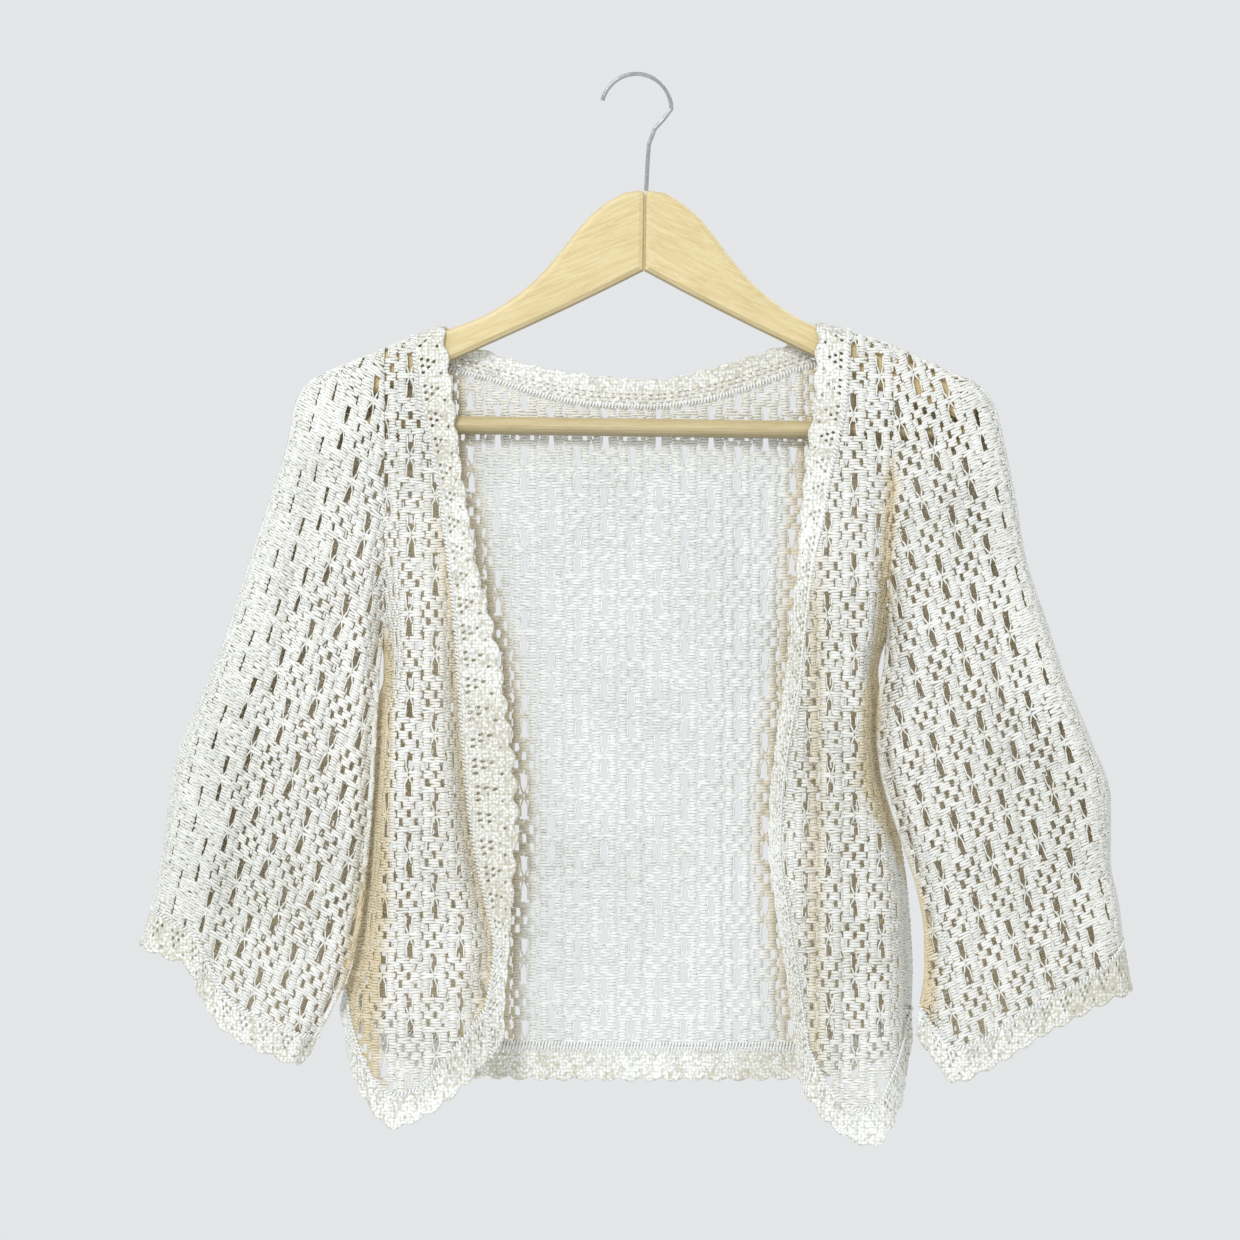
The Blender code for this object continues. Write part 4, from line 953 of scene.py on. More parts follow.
def seam_tree():
    """Stitches along a seam, each laid aslant over it."""
    tree, given, result = new_tree(
        "Seam stitches", "GeometryNodeTree",
        [("Seam", "Geometry"), ("Rib", "Object"), ("Stitch pitch", "Float"), ("Stitch length", "Float"),
         ("Stitch thickness", "Float"), ("Slant", "Float"), ("Seed", "Int"), ("Shade", "Float"),
         ("Yarn", "Material")],
        [("Stitches", "Geometry")],
    )
    curve = add_node(tree, "GeometryNodeMeshToCurve", {"Mesh": given["Seam"]}).outputs[0]
    points = add_node(
        tree, "GeometryNodeCurveToPoints", {"Curve": curve, "Length": given["Stitch pitch"]}, mode="LENGTH"
    )
    outward = named(tree, "outward", "FLOAT_VECTOR")
    tangent = points.outputs["Tangent"]
    side = vector_maths(tree, "CROSS_PRODUCT", outward, tangent)
    along = scaled(tree, tangent, maths(tree, "COSINE", given["Slant"]))
    aslant = vector_maths(tree, "ADD", along, scaled(tree, side, maths(tree, "SINE", given["Slant"])))
    rotation = add_node(
        tree, "FunctionNodeAxesToRotation", {"Primary Axis": outward, "Secondary Axis": aslant},
        primary_axis="Z", secondary_axis="X",
    ).outputs[0]
    swell = add_node(
        tree, "FunctionNodeRandomValue", {2: 0.85, 3: 1.1, "Seed": given["Seed"]}, data_type="FLOAT"
    ).outputs[1]
    thick = maths(tree, "MULTIPLY", given["Stitch thickness"], swell)
    size = add_node(tree, "ShaderNodeCombineXYZ", {"X": given["Stitch length"], "Y": thick, "Z": thick})
    rib = add_node(tree, "GeometryNodeObjectInfo", {"Object": given["Rib"]}).outputs["Geometry"]
    stitches = add_node(
        tree, "GeometryNodeInstanceOnPoints",
        {"Points": points.outputs["Points"], "Instance": rib, "Rotation": rotation, "Scale": size.outputs[0]},
    ).outputs[0]
    stitches = add_node(
        tree, "GeometryNodeStoreNamedAttribute",
        {"Geometry": stitches, "Name": "shade", "Value": maths(tree, "MULTIPLY", swell, given["Shade"])},
        data_type="FLOAT", domain="INSTANCE",
    ).outputs[0]
    finish_tree(tree, stitches, given["Yarn"], result[0])
    return tree


def tree_named(name, make):
    """A tree that is built once and then shared."""
    return bpy.data.node_groups.get(name) or make()


def mesh_piece(name, points, faces, edges=()):
    mesh = bpy.data.meshes.new(name)
    mesh.from_pydata(np.asarray(points).reshape(-1, 3).tolist(), edges, faces)
    thing = bpy.data.objects.new(name, mesh)
    bpy.context.scene.collection.objects.link(thing)
    return thing


# What a cloth's points know beside their place: how far its eyelets are drawn shut, and how far its
# under side and both its sides take a painted shade
LOOKS = ("closed", "covered", "shaded")


def put_attribute(thing, name, kind, values):
    attribute = thing.data.attributes.new(name, kind, "POINT")
    field = "vector" if kind == "FLOAT_VECTOR" else "value"
    attribute.data.foreach_set(field, np.asarray(values, float).ravel())


def grid_faces(rows, cols):
    return [
        [r * cols + c, r * cols + c + 1, (r + 1) * cols + c + 1, (r + 1) * cols + c]
        for r in range(rows - 1) for c in range(cols - 1)
    ]


def remove_piece(thing):
    mesh = thing.data
    bpy.data.objects.remove(thing)
    bpy.data.meshes.remove(mesh)


def worked_out(thing):
    """Turns a piece's modifiers into its plain mesh."""
    graph = bpy.context.evaluated_depsgraph_get()
    graph.update()
    mesh = bpy.data.meshes.new_from_object(thing.evaluated_get(graph), depsgraph=graph)
    old = thing.data
    thing.modifiers.clear()
    thing.data = mesh
    bpy.data.meshes.remove(old)
    mesh.name = thing.name
    if not mesh.polygons:
        raise RuntimeError("nothing was laid on " + thing.name)


def dressed(thing, tree, **values):
    """Puts a tree on a piece, with its inputs given by their names, words joined by _."""
    modifier = thing.modifiers.new(tree.name, "NODES")
    modifier.node_group = tree
    for item in tree.interface.items_tree:
        key = item.name.replace(" ", "_").lower()
        if item.in_out == "INPUT" and key in values:
            modifier[item.identifier] = values[key]
    return modifier


def rib_piece():
    """A rib of unit length and thickness with pointed ends, for the trees to scale."""
    ends = [(-0.5, 0, 0), (0.5, 0, 0)]
    rings = [(x, y, z) for x in (-0.44, 0.44) for y, z in ((0, 0.5), (0.5, 0), (0, -0.5), (-0.5, 0))]
    faces = []
    for k in range(4):
        after = (k + 1) % 4
        faces.append([2 + k, 2 + after, 6 + after, 6 + k])
        faces.append([0, 2 + after, 2 + k])
        faces.append([1, 6 + k, 6 + after])
    return mesh_piece("rib", ends + rings, faces)


def chart_piece(repeat):
    """The points of one repeat, each with its rib's length, thickness and tilt."""
    ribs = []
    pitch = repeat / MM / ROWS
    for course in COURSES:
        for row in range(course.first, course.last + 1):
            lean = RIB_TILT if row % 2 else -RIB_TILT
            for across, length in course.ribs:
                ribs.append((across, (row + 0.5) * pitch, length, course.thick, math.radians(lean), SPARE))
    for thread in THREADS:
        for side in (-1, 1):
            run = side * (thread.to_across - thread.across)
            fall = thread.to_down - thread.down
            middle = side * (thread.across + thread.to_across) / 2, (thread.down + thread.to_down) / 2
            ribs.append((*middle, math.hypot(run, fall), THREAD_THICK, math.atan2(fall, run), 0.0))
    table = np.array(ribs)
    places = np.column_stack([table[:, :2] * MM, np.zeros(len(table))])
    chart = mesh_piece("chart", places, [])
    put_attribute(chart, "length", "FLOAT", table[:, 2] * MM)
    put_attribute(chart, "thick", "FLOAT", table[:, 3] * MM)
    put_attribute(chart, "tilt", "FLOAT", table[:, 4])
    put_attribute(chart, "spare", "FLOAT", table[:, 5])
    return chart


def scallop_piece():
    """One scallop of unit pitch as a thin sheet with its holes, from its seam to its edge."""
    cell = 1 / BAND_COLUMNS
    points = []
    for number, down in enumerate(BAND_LINES):
        share = (down / BAND_LINES[-1]) ** 4
        for k in range(BAND_COLUMNS + 1):
            x = k * cell
            from_tip = x - 3.5 * cell
            cut = SCALLOP_CUT * (1 - abs(math.cos(math.pi * from_tip)))
            ripple = BAND_RIPPLE * (1 if number % 2 else -1)
            points.append((x * EDGE_PITCH * MM, (down - cut * share) * MM, ripple * MM))
    faces = []
    for face in grid_faces(len(BAND_LINES), BAND_COLUMNS + 1):
        number, k = divmod(face[0], BAND_COLUMNS + 1)
        if k - 3 not in HOLES.get(number, ()):
            faces.append(face)
    return mesh_piece("scallop", points, faces)


def yarn_group():
    """Cotton's colour and fine relief, from a place, its colours, each rib's own random shade and the
    share of painted shade that it takes."""
    tree, given, result = new_tree(
        "Cotton yarn", "ShaderNodeTree",
        [("Place", "Vector"), ("Colour", "Color"), ("Hollow colour", "Color"), ("Inner colour", "Color"),
         ("Shade", "Float"), ("Inner", "Float"), ("Strand size", "Float"), ("Knots", "Float")],
        [("Colour", "Color"), ("Relief", "Float")],
    )
    scale = maths(tree, "DIVIDE", 1.0, given["Strand size"])
    strands = add_node(
        tree, "ShaderNodeTexNoise", {"Vector": given["Place"], "Scale": scale, "Detail": 3.0, "Roughness": 0.6}
    ).outputs[0]
    knots = add_node(
        tree, "ShaderNodeTexVoronoi",
        {"Vector": given["Place"], "Scale": maths(tree, "MULTIPLY", scale, KNOT_SHARE), "Randomness": 0.6},
    ).outputs["Distance"]
    strands = add_node(
        tree, "ShaderNodeMix", {0: given["Knots"], 2: strands, 3: maths(tree, "SUBTRACT", 1.0, knots)}
    ).outputs[0]
    wash = add_node(
        tree, "ShaderNodeTexNoise", {"Vector": given["Place"], "Scale": 9.0, "Detail": 1.0}
    ).outputs[0]
    own = maths(tree, "MULTIPLY", given["Shade"], 0.12)
    mixed = maths(tree, "ADD", maths(tree, "MULTIPLY", strands, 0.7), own)
    mixed = maths(tree, "ADD", mixed, maths(tree, "MULTIPLY", wash, 0.25))
    # Partly painted shade: the hollow colour falls where the strands' relief is low, and partly random tone from
    # the wash and each rib's own shade
    ramp = add_node(
        tree, "ShaderNodeMapRange", {"Value": mixed, "From Min": 0.38, "From Max": 0.56}
    ).outputs[0]
    colour = add_node(
        tree, "ShaderNodeMix", {0: ramp, 6: given["Hollow colour"], 7: given["Colour"]}, data_type="RGBA"
    ).outputs[2]
    # Painted shade: the colour is tinted towards the shade colour by each point's share of painted shade
    shady = add_node(
        tree, "ShaderNodeMix", {0: given["Inner"], 6: (1.0, 1.0, 1.0, 1.0), 7: given["Inner colour"]},
        data_type="RGBA",
    ).outputs[2]
    colour = add_node(
        tree, "ShaderNodeMix", {0: 1.0, 6: colour, 7: shady}, data_type="RGBA", blend_type="MULTIPLY"
    ).outputs[2]
    tree.links.new(colour, result["Colour"])
    tree.links.new(strands, result["Relief"])
    return tree


def shader_in(name, roughness, **constants):
    material = bpy.data.materials.new(name)
    material.use_nodes = True
    shader = material.node_tree.nodes["Principled BSDF"]
    shader.inputs["Roughness"].default_value = roughness
    for label, value in constants.items():
        shader.inputs[label.replace("_", " ")].default_value = value
    return material, material.node_tree, shader


def yarn_material(name, hollow, strand_size, relief, knots=0.0):
    """Matt cotton: soft sheen, small strands or knots in the relief, each rib a little different."""
    old = bpy.data.materials.get(name)
    if old:
        return old
    material, tree, shader = shader_in(
        name, 0.9, Sheen_Weight=0.15, Sheen_Roughness=0.6, Specular_IOR_Level=0.2
    )
    place = tree.nodes.new("ShaderNodeTexCoord").outputs["Object"]
    shade = add_node(tree, "ShaderNodeAttribute", attribute_name="shade").outputs["Fac"]
    group = tree.nodes.new("ShaderNodeGroup")
    group.node_tree = tree_named("Cotton yarn", yarn_group)
    yarn = bpy.context.scene.cardigan_yarn
    # Painted shade: each point's share of painted shade, read from the mesh
    inner = add_node(tree, "ShaderNodeAttribute", attribute_name="inner").outputs["Fac"]
    group.inputs["Colour"].default_value = yarn.colour
    group.inputs["Hollow colour"].default_value = hollow
    group.inputs["Inner colour"].default_value = yarn.inner_colour
    tree.links.new(inner, group.inputs["Inner"])
    group.inputs["Strand size"].default_value = strand_size
    group.inputs["Knots"].default_value = knots
    tree.links.new(place, group.inputs["Place"])
    tree.links.new(shade, group.inputs["Shade"])
    bump = add_node(
        tree, "ShaderNodeBump", {"Strength": relief, "Distance": 0.0006, "Height": group.outputs["Relief"]}
    ).outputs[0]
    tree.links.new(group.outputs["Colour"], shader.inputs["Base Color"])
    tree.links.new(bump, shader.inputs["Normal"])
    return material


def cloth_yarn():
    hollow = bpy.context.scene.cardigan_yarn.hollow_colour
    return yarn_material("openwork_cotton", hollow, 0.0007, 0.5)


def band_yarn():
    hollow = bpy.context.scene.cardigan_band.hollow_colour
    return yarn_material("crochet_cotton", hollow, 0.0012, 1.0, 0.5)


def closer_by_ends(length, step):
    """Shares along a length, closer together by both ends."""
    rim = CLOSE / length
    start = CLOSE[-1] + 2 * GROUND_STEP / 3
    count = max(2, round((length - 2 * start) / step) + 1)
    return np.concatenate([rim, np.linspace(start / length, 1 - start / length, count), 1 - rim[::-1]])


def flat_places(points, drape, down, more):
    """Each point's place on the flat cloth, along its rows and down its columns.

    The rows are measured over the cloth's rolls and creases, from the middle of the piece, and count
    for more where the cloth is drawn together.
    """
    across, depth, drop = points[..., 0], points[..., 1], points[..., 2]
    along = across * math.cos(drape.columns) + drop * math.sin(drape.columns)
    below = drop * math.cos(drape.rows) - across * math.sin(drape.rows)
    run = [np.gradient(x, axis=1) for x in (along, below, depth)]
    fall = [np.gradient(x, axis=0) for x in (along, below, depth)]
    whole = run[0] * fall[1] - fall[0] * run[1]
    slope = (run[2] * fall[1] - fall[2] * run[1]) / np.where(np.abs(whole) < 1e-9, 1e-9, whole)
    slope = np.clip(slope, -STEEPEST, STEEPEST) * np.clip(down / SHOULDER_ROUND - 0.5, 0, 1)[:, None]
    slope = (slope[:, 1:] + slope[:, :-1]) / 2
    steps = np.diff(along, axis=1) * np.sqrt(1 + slope**2)
    steps = steps * (1 + (more[:, 1:] + more[:, :-1]) / 2)
    rows = np.concatenate([np.zeros((len(along), 1)), np.cumsum(steps, axis=1)], axis=1)
    middle = along.shape[1] // 2
    rows = rows - rows[:, middle : middle + 1] + along[:, middle : middle + 1]
    below = below - ROUND_EXTRA * round_fall(down / SHOULDER_ROUND)[:, None]
    return np.stack([rows, below], axis=-1)


def cloth_piece(name, points, outward, flat, reach, **looks):
    """The cloth's middle sheet with its flat pattern, and a margin round it that knows the way back
    to the edge; all but the sheet's own places in millimetres. Each look is a share for every point."""
    ring = ((1, 1), (1, 1), (0, 0))
    inner = np.pad(flat, ring, mode="edge")
    outer = inner.copy()
    way = np.sign(flat[:, -1, 0] - flat[:, 0, 0]).mean()
    outer[:, 0, 0] -= way * reach
    outer[:, -1, 0] += way * reach
    outer[0, :, 1] -= reach
    outer[-1, :, 1] += reach
    rows, cols = outer.shape[:2]
    faces = grid_faces(rows, cols)
    thing = mesh_piece(name, to_metres(np.pad(points, ring, mode="edge")), faces)
    zero = np.zeros((rows, cols, 1))
    put_attribute(thing, "outward", "FLOAT_VECTOR", np.pad(outward, ring, mode="edge"))
    put_attribute(thing, "trim", "FLOAT_VECTOR", np.concatenate([(inner - outer) * MM, zero], axis=-1))
    for look in LOOKS:
        shares = looks.get(look, np.zeros(points.shape[:2]))
        put_attribute(thing, look, "FLOAT", np.pad(shares, 1, mode="edge"))
    layer = thing.data.uv_layers.new(name="flat")
    corners = np.array(faces).ravel()
    layer.data.foreach_set("uv", (outer.reshape(-1, 2)[corners] * MM).ravel())
    return thing


def sheet_area(points):
    """The area of a grid of points, in their own unit."""
    first = points[1:, 1:] - points[:-1, :-1]
    second = points[1:, :-1] - points[:-1, 1:]
    return float(np.linalg.norm(np.cross(first, second), axis=-1).sum() / 2)


def knit_name(node):
    return node + "_knit"


def declare(thing, node, flat, area):
    """Puts a cloth piece on the body in place of its solid, which it hides."""
    width, length = flat
    area = min(max(area, 0.3 * width * length), width * length)
    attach(thing, BODY)
    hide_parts(node)


def openwork(node, shape, width, outward, seed, drape, phase, look, selvages):
    """A panel's openwork on its own form, with a close strip of stitches by each side seam.

    phase shifts the columns, look gives from across and drop how closed and drawn together the cloth
    is and how much painted shade it takes where covered and where shaded, and selvages are its strips.
    """
    yarn = bpy.context.scene.cardigan_yarn
    us = closer_by_ends(width, GROUND_STEP)
    vs = closer_by_ends(PANEL_LENGTH, GROUND_STEP)
    u, v = np.meshgrid(us, vs)
    middle, normal = middle_and_normal(shape, u, v, outward)
    looks = look(middle[..., 0], middle[..., 2])
    more = looks.pop("more")
    flat = flat_places(middle, drape, vs * PANEL_LENGTH, more)
    facing = normal * np.array([1, 1, -1])
    name = knit_name(node)
    cloth = cloth_piece(name, middle, facing, flat, SEAM_REACH, **looks)
    pitch = yarn.column_pitch * drape.stretch
    repeat = yarn.repeat * drape.stretch
    chart = chart_piece(repeat)
    rib = rib_piece()
    low, high = flat.reshape(-1, 2).min(0) * MM, flat.reshape(-1, 2).max(0) * MM
    columns = int((high[0] - low[0]) / pitch) + 5
    repeats = int((high[1] - low[1]) / repeat) + 3
    first_repeat = math.floor(low[1] / repeat) - 1
    first_column = 2 * math.floor(low[0] / pitch / 2 - 0.5)
    middle_down = (first_repeat + (repeats - 1) / 2) * repeat
    middle_across = (first_column + phase + (columns - 1) / 2) * pitch
    dressed(
        cloth, tree_named("Openwork ribs", lace_tree), chart=chart, rib=rib,
        column_pitch=pitch, repeat=repeat, columns=columns, repeats=repeats,
        middle=(middle_across, middle_down, 0.0), depth=yarn.depth, drift=0.004,
        drift_scale=28.0, unevenness=1.0, seed=seed, yarn=cloth_yarn(),
    )
    worked_out(cloth)
    remove_piece(chart)
    remove_piece(rib)
    strips = []
    for strip in selvages:
        down = np.linspace(strip.start, strip.end, 150)
        line_middle, line_normal = middle_and_normal(shape, np.full(150, strip.share), down, outward)
        # The selvage stitches take the cloth's painted shade
        inner = look(line_middle[:, 0], line_middle[:, 2])["shaded"]
        strips.append(seam_strip(
            f"{name}_selvage_{len(strips)}", line_middle, line_normal * np.array([1, 1, -1]), -0.2,
            strip.width, 1.5, math.pi / 2, 0.0012, cloth_yarn(), inner,
        ))
    join_pieces(cloth, strips)
    steps = np.linalg.norm(np.diff(middle, axis=1), axis=-1)
    breadth = (steps * (1 + more[:, 1:])).sum(axis=1).max()
    height = np.linalg.norm(np.diff(middle, axis=0), axis=-1).sum(axis=0).max()
    gathered = (steps * more[:, 1:]).sum() / steps.sum()
    area = sheet_area(middle) * (1 + gathered)
    declare(cloth, node, (breadth * MM, height * MM), area * MM * MM)
    return cloth


def scalloped(node, path, width, pitch, inside_strip=0.0, shadow_dash_rows=()):
    """A scalloped band with the stitches of its seam.

    The rows it is given are lines across the band that carry short dark stitches on its inside, a painted shadow
    that stands for the knit's small hollows.
    shadow_dash_rows names the lines across the band that carry a row of small hollows on its inside.
    """
    settings = bpy.context.scene.cardigan_band
    shares = np.linspace(0, 1, 161)
    over = np.linspace(0, 1, 8)
    along, across = np.meshgrid(shares, over, indexing="ij")
    middle, normal = path(along, across)
    centre_line = middle[:, len(over) // 2]
    reach = np.concatenate([[0.0], np.cumsum(np.linalg.norm(np.diff(centre_line, axis=0), axis=1))])
    count = max(2, round(reach[-1] / pitch))
    flat_x = reach / reach[-1] * count * EDGE_PITCH
    flat = np.stack(np.broadcast_arrays(flat_x[:, None], over[None, :] * BAND_LINES[-1]), axis=-1)
    facing = normal * np.array([1, 1, -1])
    name = knit_name(node)
    # The sheet's rows run along the band, so the grid is turned to put its columns along it
    cloth = cloth_piece(
        name, middle.transpose(1, 0, 2), facing.transpose(1, 0, 2), flat.transpose(1, 0, 2), 2.0
    )
    scallop = scallop_piece()
    dressed(
        cloth, tree_named("Scalloped band", band_tree), scallop=scallop, scallops=count,
        pitch=EDGE_PITCH * MM, yarn=band_yarn(),
    )
    rounder = cloth.modifiers.new("Rounder", "SUBSURF")
    rounder.levels = rounder.render_levels = 1
    wall = cloth.modifiers.new("Wall", "SOLIDIFY")
    wall.thickness = settings.thickness
    wall.offset = 0.0
    worked_out(cloth)
    remove_piece(scallop)
    # No painted shade on the seam and overlock stitches; the dash rows below take it in full
    bright = np.zeros(len(middle))
    strips = [
        seam_strip(
            name + "_seam", middle[:, 0], facing[:, 0], 1.1, 3.4, 1.5, 0.9, settings.stitch,
            cloth_yarn(), bright,
        )
    ]
    if inside_strip:
        strips.append(seam_strip(
            name + "_overlock", middle[:, 0], -facing[:, 0], 1.3, inside_strip, 1.4, 1.35, 0.0021,
            cloth_yarn(), bright,
        ))
    # Painted shadow: rows of short stitches in the hollow colour and full painted shade, standing for the band's
    # hollows
    for row in shadow_dash_rows:
        strips.append(seam_strip(
            f"{name}_hollows_{row}", middle[:, row], -facing[:, row], 1.2, 2.0, 0.6, 0.0, 0.0048,
            band_yarn(), bright + 1.0, -1.0,
        ))
    join_pieces(cloth, strips)
    declare(cloth, node, (reach[-1] * MM, width * MM), sheet_area(middle) * MM * MM)
    return cloth


def seam_strip(name, points, facing, lift, length, thick, slant, pitch, yarn, inner, shade=1.0):
    """Stitches along a line of points in millimetres, lifted off the cloth."""
    line_points = to_metres(points) + facing * lift * MM
    edges = [(k, k + 1) for k in range(len(points) - 1)]
    strip = mesh_piece(name, line_points, [], edges)
    put_attribute(strip, "outward", "FLOAT_VECTOR", facing)
    # Painted shade for each stitch
    put_attribute(strip, "inner", "FLOAT", inner)
    rib = rib_piece()
    dressed(
        strip, tree_named("Seam stitches", seam_tree), rib=rib, stitch_pitch=pitch,
        stitch_length=length * MM, stitch_thickness=thick * MM, slant=slant, seed=3, shade=shade,
        yarn=yarn,
    )
    worked_out(strip)
    remove_piece(rib)
    return strip


def join_pieces(main, others):
    """Joins other meshes into a piece."""
    with bpy.context.temp_override(
        active_object=main, object=main, selected_objects=[main, *others],
        selected_editable_objects=[main, *others],
    ):
        bpy.ops.object.join()


def front_shape(side):
    if side == "left":
        return Front(
            LEFT_SHOULDER, LEFT_SIDE, LEFT_SEAM, LEFT_EDGE, LEFT_HEM, LEFT_BOTTOM, LEFT_CORNER,
            LEFT_HANG, LEFT_FOLDS, soft_fall, LEFT_RIDGE,
        )
    return Front(
        RIGHT_SHOULDER, RIGHT_SIDE, RIGHT_SEAM, RIGHT_EDGE, RIGHT_HEM, RIGHT_BOTTOM, RIGHT_CORNER,
        RIGHT_HANG, RIGHT_FOLDS, round_fall, RIGHT_RIDGE,
    )


def sleeve_shape(side, layer):
    if side == "left":
        return Sleeve(
            LEFT_CAP, LEFT_CUFF_SEAM, LEFT_CUFF_EDGE, LEFT_OUTER, LEFT_INNER, LEFT_TUBE,
            LEFT_SLEEVE_FOLDS, LEFT_RIDGE, layer,
        )
    return Sleeve(
        RIGHT_CAP, RIGHT_CUFF_SEAM, RIGHT_CUFF_EDGE, RIGHT_OUTER, RIGHT_INNER, RIGHT_TUBE,
        RIGHT_SLEEVE_FOLDS, RIGHT_RIDGE, layer,
    )


def band_path(shape, outward, places):
    """A band's points and outward directions, from shares along and across it to u and v."""
    return lambda along, across: middle_and_normal(shape, *places(along, across), outward)


def across_at(table, field, drop):
    """A table's across for each drop."""
    return np.interp(drop, [row.drop for row in table], [getattr(row, field) for row in table])


def side_shade(side, piece, across, drop):
    """The share of painted shade: 1 on the shaded side of the body's or the sleeve's line, softly 0 on the
    other.
    """
    table = SIDE_SHADES[side]
    beyond = across - across_at(table, piece, drop)
    if (side == "left") != (piece == "body"):
        beyond = -beyond
    started = 1 - soft_fall((drop - table[0].drop) / UNDERARM_EASE)
    return soft_fall(beyond / SHADE_EDGE) * started


def back_look(across, drop):
    """The back: a painted shade behind the fronts, and a little under the neck band."""
    left = across_at(LEFT_EDGE, "across", drop)
    right = across_at(RIGHT_EDGE, "across", drop)
    beside = np.minimum(across - left, right - across)
    return {
        "closed": np.zeros(across.shape),
        # Painted shade behind the fronts' edges and under the neck band
        "covered": np.maximum(soft_fall(beside / 16), 0.3 * soft_fall((drop - 216) / 60)),
        "shaded": np.zeros(across.shape),
        "more": np.zeros(across.shape),
    }


def front_look(side, shape):
    """A front: close by its side seam, with a painted shade there and in the valley by its band."""
    def look(across, drop):
        below = 1 - soft_fall((drop - ROUND_FROM) / UNDERARM_EASE)
        behind = below * soft_fall(np.abs(across - shape.side_at(drop)) / (2 * FLANGE))
        hanging = 1 - soft_fall((drop - 250) / 80)
        # Painted shade along the valley by the band, starting below the neck
        if side == "left":
            from_seam = np.abs(across - shape.seam_at(drop))
            valley = 0.75 * soft_fall(from_seam / 11) + 0.2 * soft_fall(from_seam / 30)
        else:
            valley = 0.8 * np.exp(-(((across - 110.5) / 4.5) ** 2)) * (1 - soft_fall((drop - 300) / 60))
        return {
            "closed": behind,
            "covered": np.ones(across.shape),
            "shaded": np.maximum(side_shade(side, "body", across, drop), valley * hanging),
            "more": behind,
        }

    return look


def sleeve_look(side, shape, layer):
    """A sleeve's layer: drawn together by its outer line, with a painted shade by the body."""
    drape = DRAPES[side]

    def look(across, drop):
        drawn = soft_fall(np.abs(across - shape.outer_at(drop)) / drape.width)
        back = layer == "back"
        return {
            "closed": drawn + (0.2 if back else 0.0),
            "covered": np.ones(across.shape),
            "shaded": side_shade(side, "sleeve", across, drop) * (0 if back else 1),
            "more": drape.more * drawn,
        }

    return look


class CARDIGAN_OT_back(bpy.types.Operator):
    """Lays the openwork of the back panel"""

    bl_idname = "cardigan.back"
    bl_label = "Back panel"

    def execute(self, context):
        edge = BODY_SELVAGE / 2 / 335
        strips = [Selvage(share, BODY_SELVAGE, *SIDE_RUN) for share in (edge, 1 - edge)]
        openwork("back_panel", Back(), 335.0, 1, 11, STRETCHED, 0.5, back_look, strips)
        return {"FINISHED"}


class CARDIGAN_OT_fronts(bpy.types.Operator):
    """Lays the openwork of the two fronts"""

    bl_idname = "cardigan.fronts"
    bl_label = "Fronts"

    def execute(self, context):
        for side, seed in (("left", 21), ("right", 22)):
            shape = front_shape(side)
            openwork(
                "front_" + side, shape, 65.0, -1, seed, STRAIGHT, 0.0,
                front_look(side, shape), [Selvage(BODY_SELVAGE / 2 / 65, BODY_SELVAGE, *SIDE_RUN)],
            )
        return {"FINISHED"}


class CARDIGAN_OT_sleeves(bpy.types.Operator):
    """Lays the openwork of both sleeves, front and back"""

    bl_idname = "cardigan.sleeves"
    bl_label = "Sleeves"

    def execute(self, context):
        strips = [
            Selvage(1 - SLEEVE_SELVAGE / 2 / 105, SLEEVE_SELVAGE, *SIDE_RUN),
            Selvage(0.6 / 105, SLEEVE_SELVAGE, *FOLD_RUN),
        ]
        for side in ("left", "right"):
            for layer, outward in (("front", -1), ("back", 1)):
                shape = sleeve_shape(side, layer)
                openwork(
                    f"sleeve_{side}_{layer}", shape, 105.0, outward, 31 + outward,
                    DRAPES[side], 0.5 if layer == "back" else 0.0, sleeve_look(side, shape, layer), strips,
                )
        return {"FINISHED"}


class CARDIGAN_OT_bands(bpy.types.Operator):
    """Makes the scalloped bands of the fronts, neck, hem and cuffs"""

    bl_idname = "cardigan.bands"
    bl_label = "Scalloped bands"

    def execute(self, context):
        for side in ("left", "right"):
            shape = front_shape(side)
            down = band_path(shape, -1, lambda along, across: (1 + across, 2 * along))
            scalloped("band_front_" + side, down, 20.0, EDGE_PITCH)
            hem = band_path(shape, -1, lambda along, across: (along, 1 + across))
            scalloped("band_hem_" + side, hem, 22.0, HEM_PITCH)
            for layer, outward in (("front", -1), ("back", 1)):
                cuff = band_path(
                    sleeve_shape(side, layer), outward, lambda along, across: (along, 1 + across)
                )
                scalloped(
                    f"cuff_{side}_{layer}", cuff, 22.0, HEM_PITCH
                )
        hem = band_path(Back(), 1, lambda along, across: (along, 1 + across))
        scalloped("band_hem_back", hem, 22.0, HEM_PITCH, 7.0)
        neck = NeckBand()
        span = neck.last - neck.first
        collar = band_path(neck, 1, lambda along, across: (neck.first + span * along, across))
        scalloped("band_neck_back", collar, 20.0, EDGE_PITCH, 4.0, (1, 2, 3))
        return {"FINISHED"}


